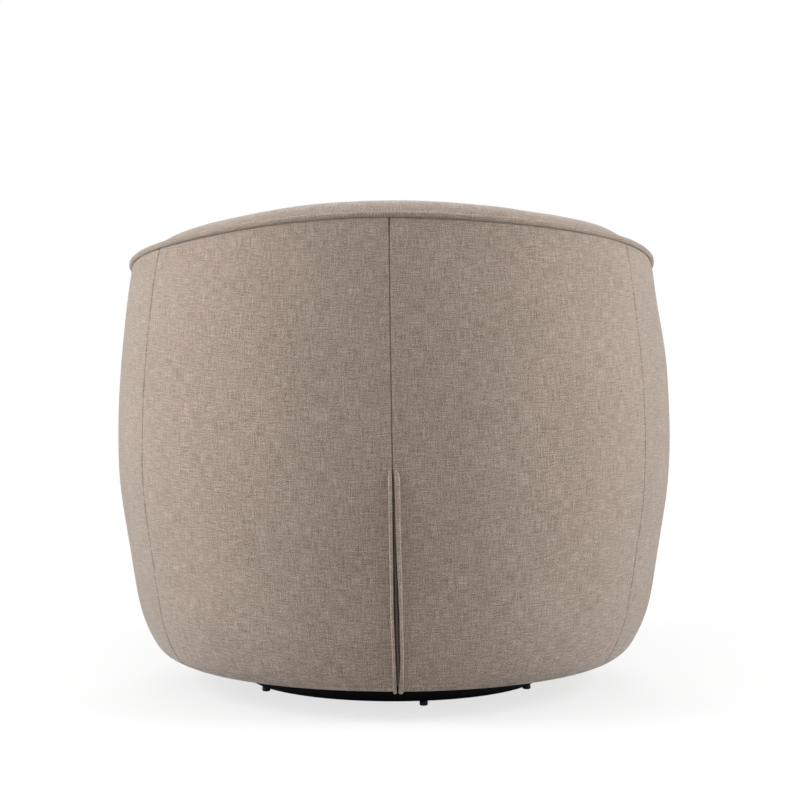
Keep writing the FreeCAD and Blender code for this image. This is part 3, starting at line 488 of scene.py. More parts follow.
profile = [(radius, BARREL_BOTTOM) for radius in (HEM_INNER_RADIUS, HEM_MIDDLE_RADIUS, hem_r - HEM_EDGE)]
for centre_r, centre_z, radius, first, last in ARCS[:2]:
    steps = 9 if radius == HEM_ROUND else 5
    for step in range(steps + (radius == SKIRT_ROUND)):
        lean = first + (last - first) * step / steps
        profile.append((centre_r + radius * sin(lean), centre_z - radius * cos(lean)))
height = profile[-1][1]
while height < RING_TOP - 0.001:
    height = min(RING_TOP, height + ROW_HEIGHT)
    profile.append((barrel_radius(height), height))

deselect()
bpy.ops.mesh.primitive_circle_add(vertices=BARREL_COLUMNS, radius=profile[0][0],
                                  location=(0, 0, profile[0][1]))
ring = bpy.context.object
bpy.ops.object.mode_set(mode="EDIT")
bpy.ops.mesh.select_all(action="SELECT")
for (r0, z0), (r1, z1) in zip(profile, profile[1:]):
    bpy.ops.mesh.extrude_edges_move(TRANSFORM_OT_translate={"value": (0, 0, z1 - z0)})
    bpy.ops.transform.resize(value=(r1 / r0, r1 / r0, 1.0))
face_outwards(ring)
settle(ring, "barrel_ring")


def turn_of(place):
    return math.degrees(math.atan2(-place.x, place.y))


for vertex in ring.data.vertices:
    if vertex.co.z > FIXED_BELOW:
        turn = turn_of(vertex.co)
        share = (vertex.co.z - FIXED_BELOW) / (RING_TOP - FIXED_BELOW)
        vertex.co = on_barrel(turn, FIXED_BELOW + share * (rim_height(turn) - FIXED_BELOW))
print("ring", len(ring.data.polygons), "faces, radius at top",
      round(ring.data.vertices[-1].co.to_2d().length, 4))

# %% [markdown]
# Each panel is a sector of the ring. Its edge is inset and tucked in, and that leaves the thin valley
# of a sewn seam between two panels. The cloth is then subdivided and given its thickness.

# %% Cover panels
SEAM_TUCK = 0.0024
SEAM_INSETS = (0.0030, 0.0011)
TOP_ABOVE, TOP_REACH = 0.29, 0.008
TOP_TUCK, TOP_TUCK_END, TOP_TUCK_FADE = 1.2, 122, 8
STILL_BELOW = BARREL_BOTTOM + 0.01
EDGE_REACH = 0.09
PANEL_THICKNESS = 0.009
PROUD_LIMIT, PROUD_SINK = 0.003, 0.0006
PANELS = {
    "cover_back_left": (0.0, 62.0),
    "cover_side_left": (62.0, 134.0),
    "cover_front": (134.0, 226.0),
    "cover_side_right": (-134.0, -62.0),
    "cover_back_right": (-62.0, 0.0),
}
# The centre seam runs a little askew, and opens into the zip below: each back panel's edge by height.
SEAM_ABOVE = [(0.356, 0.0016), (0.50, 0.0040), (0.68, 0.0062)]
EDGE_LINES = {
    "cover_back_left": [(0.034, -0.0058), (0.054, -0.0098), (0.085, -0.0110), (0.156, -0.0098),
                        (0.250, -0.0066), (0.318, -0.0040), (0.338, 0.0010)] + SEAM_ABOVE,
    "cover_back_right": [(0.034, -0.0058), (0.054, -0.0016), (0.085, -0.0006), (0.156, 0.0020),
                         (0.250, 0.0034), (0.318, 0.0036), (0.338, 0.0016)] + SEAM_ABOVE,
}


def along_table(table, value):
    """Value read off a table of places and amounts, straight between its rows."""
    for (v0, y0), (v1, y1) in zip(table, table[1:]):
        if value <= v1:
            return y0 + (y1 - y0) * max(0.0, value - v0) / (v1 - v0)
    return table[-1][1]


def ripple(place):
    """Slow hand-pulled unevenness of the cloth, in metres."""
    return 0.0011 * noise.noise(place * 7.0) + 0.0005 * noise.noise(place * 19.0)


def cloth_lengths(place, centre):
    """Lengths in metres round the barrel and up it. The front panel crosses the angle's jump."""
    turn = turn_of(place)
    if abs(turn_of(centre)) > 170 and turn < 0:
        turn += 360
    return (math.radians(turn) * BARREL_RADIUS, place.z + 0.5 * (BARREL_RADIUS - place.to_2d().length))


for name, (first, last) in PANELS.items():
    only(ring)
    bpy.ops.object.duplicate()
    panel = bpy.context.object

    def outside(centre, normal):
        turn = turn_of(centre)
        return not (first < turn < last or first < turn + 360 < last)

    select_faces(panel, outside)
    bpy.ops.mesh.delete(type="FACE")
    for width in SEAM_INSETS:
        bpy.ops.mesh.select_all(action="SELECT")
        bpy.ops.mesh.inset(thickness=width, depth=0.0, use_boundary=True, use_even_offset=True)
    bpy.ops.object.mode_set(mode="OBJECT")
    for vertex in panel.data.vertices:
        if vertex.co.z > FIXED_BELOW:
            vertex.co = on_barrel(turn_of(vertex.co), vertex.co.z)
    uses = {}
    for face in panel.data.polygons:
        for key in face.edge_keys:
            uses[key] = uses.get(key, 0) + 1
    border = {index for key, used in uses.items() if used == 1 for index in key}
    normals = {vertex.index: vertex.normal.copy() for vertex in panel.data.vertices}
    for vertex in panel.data.vertices:
        outwards = normals[vertex.index]
        if vertex.co.z > FIXED_BELOW:
            outwards = Vector((vertex.co.x, vertex.co.y, 0)).normalized()
        if vertex.index in border:
            # The top edge goes in deeper than a seam, under the welt, except down the arm fronts.
            turn = turn_of(vertex.co)
            at_top = vertex.co.z > TOP_ABOVE and abs(vertex.co.z - rim_height(turn)) < TOP_REACH
            deeper = TOP_TUCK * ease((TOP_TUCK_END - abs(turn)) / TOP_TUCK_FADE) if at_top else 0.0
            vertex.co -= outwards * SEAM_TUCK * (1 + deeper)
        elif vertex.co.z > STILL_BELOW:
            vertex.co += outwards * ripple(vertex.co)
        if name in EDGE_LINES:
            # The centre seam is drawn sideways, and the cloth beside it follows less and less.
            near = max(0.0, 1.0 - abs(vertex.co.x) / EDGE_REACH)
            vertex.co.x += near * near * along_table(EDGE_LINES[name], vertex.co.z)
    unwrap_by(panel, cloth_lengths)
    subdivide(panel)
    apply_modifier(panel, "SOLIDIFY", thickness=PANEL_THICKNESS, offset=-1.0)
    # Where the cloth is folded tightly its thickness can come out in front, so it is laid back down.
    for vertex in panel.data.vertices:
        place = vertex.co
        proud = place.to_2d().length - barrel_radius(place.z) if place.z > FIXED_BELOW else 0.0
        if proud > PROUD_LIMIT:
            vertex.co = on_barrel(turn_of(place), place.z, -PROUD_SINK)
    settle(panel, "panel_" + name)
    smooth(panel, 60)
    dress(panel, cloth_panel, "linen_weave", "chair", name)
bpy.data.objects.remove(ring, do_unlink=True)

# %% [markdown]
# Cloth laid in a strip along a path, such as the rim pad, the inner pads or a welt, starts as a flat
# grid. One direction of the grid runs along the path and the other round the section, and each
# point is then laid in its place, as cloth is pulled over a frame.

# %% Cloth laid along a path
def laid_cloth(name, places, closed_section=False):
    """Mesh from a flat grid: places is a list of rows, one row of points for each place on the path."""
    rows, columns = len(places), len(places[0]) + (1 if closed_section else 0)
    deselect()
    bpy.ops.mesh.primitive_grid_add(x_subdivisions=columns - 1, y_subdivisions=rows - 1, size=1.0)
    obj = bpy.context.object
    order = sorted(range(len(obj.data.vertices)),
                   key=lambda i: (round(obj.data.vertices[i].co.y, 6), obj.data.vertices[i].co.x))
    while obj.data.uv_layers:
        obj.data.uv_layers.remove(obj.data.uv_layers[0])
    layer = obj.data.uv_layers.new(name="cloth")
    spans = {}
    travelled = 0.0
    for row in range(rows):
        section = list(places[row]) + ([places[row][0]] if closed_section else [])
        if row:
            travelled += (Vector(places[row][0]) - Vector(places[row - 1][0])).length
        across = 0.0
        for column in range(columns):
            index = order[row * columns + column]
            if column:
                across += (Vector(section[column]) - Vector(section[column - 1])).length
            obj.data.vertices[index].co = section[column]
            spans[index] = (travelled, across)
    for loop in obj.data.loops:
        layer.data[loop.index].uv = spans[loop.vertex_index]
    only(obj)
    bpy.ops.object.mode_set(mode="EDIT")
    bpy.ops.mesh.select_all(action="SELECT")
    if closed_section:
        bpy.ops.mesh.remove_doubles(threshold=0.00001)
        bpy.ops.mesh.select_all(action="DESELECT")
        bpy.ops.mesh.select_mode(type="EDGE")
        bpy.ops.mesh.select_non_manifold(extend=False)
        bpy.ops.mesh.edge_face_add()
        bpy.ops.mesh.select_all(action="SELECT")
    bpy.ops.mesh.normals_make_consistent(inside=False)
    bpy.ops.object.mode_set(mode="OBJECT")
    obj.name = obj.data.name = name
    return obj


print("laid cloth ready")

# %% [markdown]
# The rim is a fat crowned pad that runs from one arm front round the back to the other. The bucket
# that the sitter leans into gives its inner edge: a half circle at the back and two long, almost
# straight arcs at the arms.

# %% Rim stations
BUCKET_RADIUS, BUCKET_SHIFT, ARM_INNER_ROUND = 0.262, -0.008, 0.880


def bucket_x(y):
    """Half-width of the bucket at y, in front of its round back."""
    return BUCKET_RADIUS - ARM_INNER_ROUND + math.sqrt(ARM_INNER_ROUND ** 2 - (y - BUCKET_SHIFT) ** 2)


def lean_up(degrees):
    return Vector((0, -sin(degrees), cos(degrees)))


rim_stations = []
for turn, height, lean in rim_line:
    outer = on_barrel(-turn, height)
    outer.x = -outer.x
    if turn <= 90:
        y = BUCKET_SHIFT + BUCKET_RADIUS * cos(turn)
        inner = Vector((-BUCKET_RADIUS * sin(turn), y, side_height(y)))
    elif turn <= start_turn + 0.001:
        y = outer.y + BUCKET_SHIFT * max(0.0, (start_turn - turn) / (start_turn - 90))
        inner = Vector((-bucket_x(y), y, side_height(y)))
    else:
        inner = Vector((-bucket_x(outer.y), outer.y, outer.z))
    rim_stations.append((turn, outer, inner, lean_up(lean)))
print("rim stations", len(rim_stations), "width at the back",
      round((rim_stations[0][1] - rim_stations[0][2]).length, 4))


def mirror(place):
    return Vector((-place.x, place.y, place.z))


def both_sides(stations):
    """The same stations on both sides, from the right arm's foot to the left one's."""
    flipped = [(-turn, mirror(outer), mirror(inner), up) for turn, outer, inner, up in stations[1:]]
    pulled = [(turn, on_barrel(turn, outer.z + rim_raise(turn)), inner, up)
              for turn, outer, inner, up in stations]
    return flipped[::-1] + pulled


# %% [markdown]
# At every station a fat arch is laid from the outer to the inner edge, and a flat underside closes
# it. At the foot of each arm the pad runs on a little way below the top of the deck.

# %% Rim pad
RIM_SECTION = 16
CROWN_POWER = 0.6
RIM_CROWN, PEAK_CROWN, BACK_CROWN, SHOULDER_CROWN = 0.0292, 0.0048, 0.0036, 0.0014
ARM_FOOT_SINK = 0.007
PAD_START, PAD_SPAN, PAD_DROP = 0.046, 0.946, 0.0030
# Share of the way from the outer to the inner edge, and rise, of the points that close the section below.
PAD_UNDERSIDE = ((0.94, -0.004), (0.5, -0.004), (0.010, -0.0048), (0.010, -0.0002))


def crown_at(turn):
    """Height of the pad's crown, fuller at the back and on the shoulder that stands higher."""
    crown = RIM_CROWN + PEAK_CROWN * ease(1 - abs(turn) / 70) + BACK_CROWN * ease((72 - abs(turn)) / 16)
    return crown + between(SHOULDER_CROWN, turn, 44, 10, 70, 10)


rows = []
for turn, outer, inner, up in both_sides(rim_stations):
    chord = inner - outer
    up = (up - chord.normalized() * up.dot(chord.normalized())).normalized()
    row = []
    for step in range(RIM_SECTION + 1):
        share = (1 - math.cos(math.pi * step / RIM_SECTION)) / 2
        lift = crown_at(turn) * (4 * share * (1 - share)) ** CROWN_POWER
        place = outer + chord * (PAD_START + PAD_SPAN * share) + up * (lift - PAD_DROP)
        if 0 < step < RIM_SECTION:
            place += up * (ripple(place) * 1.3)
        row.append(place)
    for share, rise in PAD_UNDERSIDE:
        row.append(outer + chord * share + up * rise)
    rows.append(row)
sink = Vector((0, 0, -ARM_FOOT_SINK))
rows = [[place + sink for place in rows[0]]] + rows + [[place + sink for place in rows[-1]]]
rim_pad = laid_cloth("rim_pad", rows, closed_section=True)
subdivide(rim_pad)
settle(rim_pad, "rim_pad")
smooth(rim_pad, 50)
dress(rim_pad, cloth_panel, "linen_weave", "chair", "rim_padding")

# %% [markdown]
# A welt is a cord wrapped in the cover cloth and sewn into the seam. Seen closely it is a thin tube
# with a flange that disappears between the two panels, and the seam below it stays in shadow.

# %% Rim welt
WELT_RADIUS = 0.00425
WELT_OUT, WELT_UP = 0.0006, 0.0030
WELT_SIDES, WELT_SWELL = 10, 0.05


def tube_rows(path, radius, sides, swell=0.0):
    """Rings of points square to a path, for a round cord."""
    made = []
    for number, point in enumerate(path):
        before, after = path[max(number - 1, 0)], path[min(number + 1, len(path) - 1)]
        ahead = (after - before).normalized()
        away = Vector((point.x, point.y, 0)).normalized()
        away = (away - ahead * away.dot(ahead)).normalized()
        up = away.cross(ahead).normalized()
        thick = radius * (1 + swell * noise.noise(point * 40.0))
        made.append([point + (away * cos(360 * side / sides) + up * sin(360 * side / sides)) * thick
                     for side in range(sides)])
    return made


welt_path = []
for turn, outer, inner, up in both_sides(rim_stations):
    away = Vector((outer.x, outer.y, 0)).normalized()
    welt_path.append(outer + away * WELT_OUT + up * WELT_UP)
welt_path = [welt_path[0] + sink * 0.5] + welt_path + [welt_path[-1] + sink * 0.5]
rim_welt = laid_cloth("rim_cord", tube_rows(welt_path, WELT_RADIUS, WELT_SIDES, WELT_SWELL),
                      closed_section=True)
subdivide(rim_welt)
settle(rim_welt, "rim_cord")
smooth(rim_welt, 60)
dress(rim_welt, cloth_welt_painted_shade, "linen_weave", "chair", "rim_welt")

# %% [markdown]
# Inside, the back and the two arms each have a pad against a thin board. Each pad is a sheet of
# cloth over foam that swells a little between its seams and turns in at its edges.

# %% Inner pads
PAD_DEPTH = 0.030
PAD_SWELL, PAD_EDGE = 0.0022, 0.0015
PAD_ROWS = 14
PAD_LOW, PAD_LOW_LIFT = 0.294, 0.001
PAD_UNDER_RIM = 0.0012
SIDE_SEAM, ARM_PAD_END = 63.5, 133.0


def bucket_outline(first, last, steps):
    """Points of the bucket seen from above, between two angles about the bucket's own centre."""
    points = []
    for step in range(steps + 1):
        turn = first + (last - first) * step / steps
        if abs(turn) <= 90:
            points.append(Vector((-BUCKET_RADIUS * sin(turn), BUCKET_SHIFT + BUCKET_RADIUS * cos(turn), 0)))
        else:
            side = -1 if turn > 0 else 1
            y = BUCKET_SHIFT - (abs(turn) - 90) / 45 * (BUCKET_SHIFT - arm_front_y(0.40))
            points.append(Vector((side * bucket_x(y), y, 0)))
    return points


def pad_top(place):
    """Height at which the wall's top cuts the bucket, with room for the rim pad's tuck."""
    if place.y > DROP_START:
        return side_height(place.y) + PAD_UNDER_RIM
    if place.y > arm_top_y:
        return drop_z + math.sqrt(max(0.0, DROP_ROUND ** 2 - (place.y - drop_y) ** 2)) + PAD_UNDER_RIM
    return arm_top_z - (arm_top_y - place.y) * math.tan(math.radians(ARM_FRONT_TURN)) + PAD_UNDER_RIM


def pad_sheet(name, first, last, steps, node):
    outline = bucket_outline(first, last, steps)
    rows = []
    for number, place in enumerate(outline):
        before, after = outline[max(number - 1, 0)], outline[min(number + 1, len(outline) - 1)]
        ahead = (after - before).normalized()
        inwards = Vector((ahead.y, -ahead.x, 0))
        if inwards.dot(place) > 0:
            inwards = -inwards
        foot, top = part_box("deck_pad")[0].z + PAD_LOW_LIFT, pad_top(place)
        along = number / steps
        row = []
        for step in range(PAD_ROWS + 1):
            rise = step / PAD_ROWS
            swell = min(1.0, 6 * min(rise, 1 - rise)) * min(1.0, 14 * min(along, 1 - along))
            point = Vector((place.x, place.y, foot + rise * (top - PAD_LOW)))
            row.append(point + inwards * (PAD_SWELL * swell - PAD_EDGE))
        rows.append(row)
    pad = laid_cloth(name, rows)
    pad.data.update()
    middle = pad.data.polygons[len(pad.data.polygons) // 2]
    if middle.normal.dot(Vector((middle.center.x, middle.center.y, 0))) > 0:
        only(pad)
        bpy.ops.object.mode_set(mode="EDIT")
        bpy.ops.mesh.select_all(action="SELECT")
        bpy.ops.mesh.flip_normals()
        bpy.ops.object.mode_set(mode="OBJECT")
    subdivide(pad, boundary_smooth="PRESERVE_CORNERS")
    apply_modifier(pad, "SOLIDIFY", thickness=PAD_DEPTH, offset=-1.0)
    settle(pad, name)
    smooth(pad, 50)
    dress(pad, cloth_panel, "linen_weave", "chair", node)


pad_sheet("inner_back_pad", -SIDE_SEAM, SIDE_SEAM, 40, "inner_back_padding")
pad_sheet("inner_arm_pad_left", SIDE_SEAM, ARM_PAD_END, 26, "inner_arm_padding_left")
pad_sheet("inner_arm_pad_right", -ARM_PAD_END, -SIDE_SEAM, 26, "inner_arm_padding_right")

# %% [markdown]
# The deck is the cloth under the loose cushion. It reaches the barrel's front edge between the arms,
# so a strip of it shows in front of the cushion.

# %% Deck cover
DECK_GAP = 0.0004
DECK_SHRINK = 0.992
DECK_INSET, DECK_SWELL = 0.0015, 0.0006
deck_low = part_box("deck_cloth")[0].z


def deck_outline(steps):
    """The deck seen from above: bucket behind, arm fronts, and the barrel's round in front."""
    points = [Vector((BUCKET_RADIUS * sin(turn), BUCKET_SHIFT + BUCKET_RADIUS * cos(turn), 0))
              for turn in (90.0 * step / steps for step in range(steps + 1))]
    front_y = arm_front_y(DECK_HEIGHT)
    for step in range(1, 9):
        y = BUCKET_SHIFT + (front_y - BUCKET_SHIFT) * step / 8
        points.append(Vector((bucket_x(y), y, 0)))
    radius = barrel_radius(DECK_HEIGHT)
    edge_x = math.sqrt(radius ** 2 - front_y ** 2)
    points.append(Vector((edge_x, front_y, 0)))
    first = math.degrees(math.atan2(edge_x, -front_y))
    for step in range(1, steps):
        turn = first * (1 - step / steps)
        points.append(Vector((radius * sin(turn), -radius * cos(turn), 0)))
    points.append(Vector((0, -radius, 0)))
    return points + [mirror(point) for point in points[-2:0:-1]]


outline = deck_outline(20)
deselect()
bpy.ops.mesh.primitive_circle_add(vertices=len(outline), radius=0.3, fill_type="NGON")
deck = bpy.context.object
for vertex, place in zip(deck.data.vertices, outline):
    vertex.co = place * DECK_SHRINK + Vector((0, 0, deck_low + DECK_GAP))
bpy.ops.object.mode_set(mode="EDIT")
bpy.ops.mesh.select_all(action="SELECT")
bpy.ops.mesh.normals_make_consistent(inside=False)
deck_thick = DECK_HEIGHT - deck_low - 2 * DECK_GAP
bpy.ops.mesh.extrude_region_move(TRANSFORM_OT_translate={"value": (0, 0, deck_thick)})
bpy.ops.mesh.inset(thickness=DECK_INSET, depth=DECK_SWELL)
face_outwards(deck)
settle(deck, "deck_cover")
unwrap_by(deck, lambda place, centre: (place.x, place.y))
smooth(deck, 50)
dress(deck, cloth_panel, "linen_weave", "chair", "deck_cloth")

# %% [markdown]
# The seat cushion is a foam block in a loose cover with a boxing strip between two welts. It starts
# as its sewn outline, is remeshed evenly, and is then blown up a little by cloth simulation with its
# two seam lines held, so that it crowns on top and its boxing bulges softly.

# %% Cushion outline
CUSHION_GAP, CUSHION_CORNER = 0.004, 0.046
CUSHION_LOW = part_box("seat_cushion")[0].z
CUSHION_EDGE, CUSHION_FOOT = 0.137, 0.007
CUSHION_CROWN = 0.023
CUSHION_FRONT = BARREL_RADIUS - 0.0095


def cushion_outline(inset):
    """Half outline of the cushion from the centre of its back to the centre of its front."""
    gap = CUSHION_GAP + inset
    back, side, front = BUCKET_RADIUS - gap, ARM_INNER_ROUND - gap, CUSHION_FRONT - inset
    corner = CUSHION_CORNER
    side_centre = Vector((BUCKET_RADIUS - ARM_INNER_ROUND, BUCKET_SHIFT))
    far, near, span = side - corner, front - corner, side_centre.length
    along = (near ** 2 - far ** 2 + span ** 2) / (2 * span)
    across = math.sqrt(near ** 2 - along ** 2)
    towards = side_centre / span
    square = Vector((-towards.y, towards.x))
    centre = towards * along + square * across
    if centre.y > 0:
        centre = towards * along - square * across
    on_side = side_centre + (centre - side_centre).normalized() * side
    on_front = centre.normalized() * front

    def swept(middle, start, end, steps):
        radius = (start - middle).length
        first = math.atan2(start.y - middle.y, start.x - middle.x)
        sweep = (math.atan2(end.y - middle.y, end.x - middle.x) - first + math.pi) % (2 * math.pi) - math.pi
        angles = [first + sweep * k / steps for k in range(steps)]
        return [middle + Vector((math.cos(angle), math.sin(angle))) * radius for angle in angles]

    shift = Vector((0, BUCKET_SHIFT))
    half = swept(shift, shift + Vector((0, back)), shift + Vector((back, 0)), 22)
    half += swept(side_centre, shift + Vector((back, 0)), on_side, 12)
    half += swept(centre, on_side, on_front, 9)
    half += swept(Vector((0, 0)), on_front, Vector((0, -front)), 14)
    return half + [Vector((0, -front))]


def full_outline(inset):
    half = cushion_outline(inset)
    return half + [Vector((-point.x, point.y)) for point in reversed(half[1:-1])]


def ring_at(inset, height):
    return [Vector((point.x, point.y, height)) for point in full_outline(inset)]


print("cushion outline", len(full_outline(0.0)), "points")

# %% [markdown]
# The outline is laid in rings from the bottom up and joined into one closed skin.

# %% Seat cushion
CUSHION_VOXEL = 0.006
TOP_CAP, SIDE_CAP = 0.022, 0.0042
SEAM_HOLD = 0.007
CUSHION_RIPPLE = 0.0012
LAST_FRAME = 20
# Each ring of the sewn outline from the bottom up: how far in it lies, and its height.
edge_low, edge_top = CUSHION_LOW + CUSHION_FOOT, CUSHION_LOW + CUSHION_EDGE
cushion_rings = [(0.022, CUSHION_LOW + 0.0006), (0.006, edge_low - 0.003), (0.004, edge_low),
                 (0.009, edge_low + 0.016), (0.0105, (edge_low + edge_top) / 2), (0.009, edge_top - 0.016),
                 (0.004, edge_top), (0.014, edge_top + 0.004), (0.055, edge_top + 0.008),
                 (0.130, edge_top + 0.010)]
start_rings = [ring_at(inset, height) for inset, height in cushion_rings]
deselect()
bpy.ops.mesh.primitive_circle_add(vertices=len(start_rings[0]), radius=0.3, fill_type="NGON")
cushion = bpy.context.object
for vertex, place in zip(cushion.data.vertices, start_rings[0]):
    vertex.co = place
# The extruded ring's place does not matter, since every point of it is laid anew.
for places in start_rings[1:]:
    bpy.ops.object.mode_set(mode="EDIT")
    bpy.ops.mesh.extrude_region_move(TRANSFORM_OT_translate={"value": (0, 0, 0.001)})
    bpy.ops.object.mode_set(mode="OBJECT")
    for vertex, place in zip(cushion.data.vertices[-len(places):], places):
        vertex.co = place
face_outwards(cushion)
settle(cushion, "seat_cushion_pad")
apply_modifier(cushion, "REMESH", mode="VOXEL", voxel_size=CUSHION_VOXEL)
print("cushion remeshed", len(cushion.data.vertices), "points")

held = cushion.vertex_groups.new(name="seams")
boundary = [Vector((p.x, p.y)) for p in full_outline(0.004)]
for vertex in cushion.data.vertices:
    level = min(abs(vertex.co.z - edge_low), abs(vertex.co.z - edge_top))
    flat_bottom = vertex.co.z < CUSHION_LOW + 0.003
    if level < SEAM_HOLD or flat_bottom:
        rim_gap = 1.0 if flat_bottom else min((vertex.co.to_2d() - p).length for p in boundary)
        if flat_bottom or rim_gap < SEAM_HOLD:
            held.add([vertex.index], 1.0, "REPLACE")
before = [vertex.co.copy() for vertex in cushion.data.vertices]
only(cushion)
cloth = cushion.modifiers.new("cloth", "CLOTH")
cloth.settings.quality = 5
cloth.settings.mass = 0.3
cloth.settings.tension_stiffness = 18
cloth.settings.compression_stiffness = 18
cloth.settings.bending_stiffness = 0.6
cloth.settings.use_pressure = True
cloth.settings.uniform_pressure_force = 4.0
cloth.settings.effector_weights.gravity = 0.0
cloth.settings.vertex_group_mass = "seams"
cloth.collision_settings.use_collision = False
cloth.point_cache.frame_start, cloth.point_cache.frame_end = 1, LAST_FRAME
for number in range(1, LAST_FRAME + 1):
    bpy.context.scene.frame_set(number)
bpy.ops.object.modifier_apply(modifier=cloth.name)
bpy.context.scene.frame_set(1)
moved = 0.0
for vertex, start in zip(cushion.data.vertices, before):
    step = vertex.co - start
    moved = max(moved, step.length)
    cap = TOP_CAP if vertex.co.z > edge_top else SIDE_CAP
    if step.length > cap:
        vertex.co = start + step * (cap / step.length)
    vertex.co.z = max(vertex.co.z, CUSHION_LOW + 0.0004)
print("cushion swelled by up to", round(moved * 1000, 1), "mm")
top = max(vertex.co.z for vertex in cushion.data.vertices)
wanted = edge_top + CUSHION_CROWN
for vertex in cushion.data.vertices:
    if vertex.co.z > edge_top:
        vertex.co.z = edge_top + (vertex.co.z - edge_top) * (wanted - edge_top) / (top - edge_top)
        vertex.co.z += CUSHION_RIPPLE * noise.noise(vertex.co * 11.0)
subdivide(cushion)
settle(cushion, "seat_cushion_pad")
smooth(cushion, 80)
dress(cushion, cloth_puffed, "linen_weave", "cushion", "seat_cushion")

# %% [markdown]
# Two cords run round the cushion on its seam lines, between the boxing and the top and bottom.

# %% Cushion welts
CUSHION_WELT_RADIUS, CUSHION_WELT_INSET = 0.0038, 0.0036
for name, height in (("cushion_welt_upper", edge_top), ("cushion_welt_lower", edge_low)):
    path = ring_at(CUSHION_WELT_INSET, height)
    once_round = [path[-1]] + path + path[:2]
    rings = tube_rows(once_round, CUSHION_WELT_RADIUS, WELT_SIDES, WELT_SWELL)[1:-1]
    cord = laid_cloth(name + "_cord", rings, closed_section=True)
    only(cord)
    bpy.ops.object.mode_set(mode="EDIT")
    bpy.ops.mesh.select_all(action="SELECT")
    bpy.ops.mesh.remove_doubles(threshold=0.0002)
    bpy.ops.mesh.normals_make_consistent(inside=False)
    bpy.ops.object.mode_set(mode="OBJECT")
    subdivide(cord)
    settle(cord, name + "_cord")
    smooth(cord, 60)
    dress(cord, cloth_welt_painted_shade, "linen_weave", "cushion", name)

# %% [markdown]
# The zip in the lower back closes the cover over the frame. Its two lips are folded cloth that
# stands proud of the panels, bowed apart in the middle, and the coil lies in the dark gap.

# %% Zip lips
ZIP_LOW, ZIP_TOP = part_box("zip_lip_left")[0].z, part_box("zip_lip_left")[1].z
# Each lip by height: sideways place of its middle, and its half width, as the photograph shows them.
LIP_LINES = {
    "zip_lip_left": [(0.030, -0.0088), (0.048, -0.0101), (0.085, -0.0115), (0.156, -0.0101),
                     (0.250, -0.0067), (0.343, -0.0045), (0.352, -0.0033)],
    "zip_lip_right": [(0.030, -0.0028), (0.048, -0.0016), (0.085, -0.0004), (0.156, 0.0022),
                      (0.250, 0.0035), (0.343, 0.0046), (0.352, 0.0054)],
}
LIP_HALVES = {
    "zip_lip_left": [(0.048, 0.0040), (0.085, 0.0028), (0.156, 0.0026), (0.250, 0.0037), (0.343, 0.0042),
                     (0.352, 0.0033)],
    "zip_lip_right": [(0.048, 0.0029), (0.085, 0.0026), (0.156, 0.0023), (0.250, 0.0026), (0.343, 0.0030),
                      (0.352, 0.0021)],
}
LIP_RAISE = 0.0050
LIP_LOW = BARREL_BOTTOM + 0.0016
LIP_NUDGE = 0.0005
LIP_CLOSE, LIP_END = 0.010, 0.15
# The fold's section: share of the half width, and share of the height above the panel.
LIP_SECTION = ((-0.72, -1.0), (-0.80, 0.0), (-1.0, 0.45), (-0.70, 0.90), (0.0, 1.0), (0.70, 0.90),
               (1.0, 0.45), (0.80, 0.0), (0.72, -1.0))


def lip_rows(line, halves, low, high, steps):
    """Sections of a folded lip up the barrel, raised square to its side and closing at the top."""
    rows = []
    for step in range(steps + 1):
        height = low + (high - low) * step / steps
        close = math.sqrt(min(1.0, (high - height) / LIP_CLOSE + LIP_END))
        middle = along_table(line, height)
        half = along_table(halves, height)
        radius = barrel_radius(height)
        slope = (barrel_radius(height + LIP_NUDGE) - barrel_radius(height - LIP_NUDGE)) / (2 * LIP_NUDGE)
        steep = math.hypot(1.0, slope)
        row = []
        for share, lift in LIP_SECTION:
            x = middle + share * half * close
            out = radius + lift * LIP_RAISE * close / steep
            down = lift * LIP_RAISE * close * slope / steep
            row.append(Vector((x, math.sqrt(out ** 2 - x ** 2), height - down)))
        rows.append(row)
    return rows


for name, line in LIP_LINES.items():
    lip = laid_cloth(name + "_fold", lip_rows(line, LIP_HALVES[name], LIP_LOW, ZIP_TOP, 80),
                     closed_section=True)
    subdivide(lip)
    settle(lip, name + "_fold")
    smooth(lip, 60)
    dress(lip, cloth_lip_painted_highlight, "linen_weave", "chair", name)

# %% [markdown]
# Between the lips lies the zip itself: a dark tape, and on it a coil of small nylon turns. One turn
# of the coil is modelled and copied down the gap, and the slider waits at the top under the lips.

# %% Zip tape, coil and slider
COIL_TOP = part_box("zip_coil")[1].z
COIL_LOW, COIL_PITCH = ZIP_LOW + 0.012, 0.0021
COIL_RADIUS, COIL_OUT = 0.00075, 0.0009
TAPE_DEPTH, TAPE_THICK, TAPE_HALF = 0.0026, 0.0008, 0.0065
TAPE_LOW, TAPE_LENGTH, TAPE_STEPS = ZIP_LOW + 0.010, ZIP_TOP - 0.014 - ZIP_LOW, 60
SLIDER_SIZE, SLIDER_DOWN, SLIDER_DEPTH = (0.0050, 0.0022, 0.0130), 0.004, 0.0032


def in_gap(height, sideways, out):
    """Place midway between the two lips at a height, moved sideways and outwards."""
    left, right = (along_table(LIP_LINES[name], height) for name in ("zip_lip_left", "zip_lip_right"))
    x = (left + right) / 2 + sideways
    radius = barrel_radius(height) + out
    return Vector((x, math.sqrt(radius ** 2 - x ** 2), height))


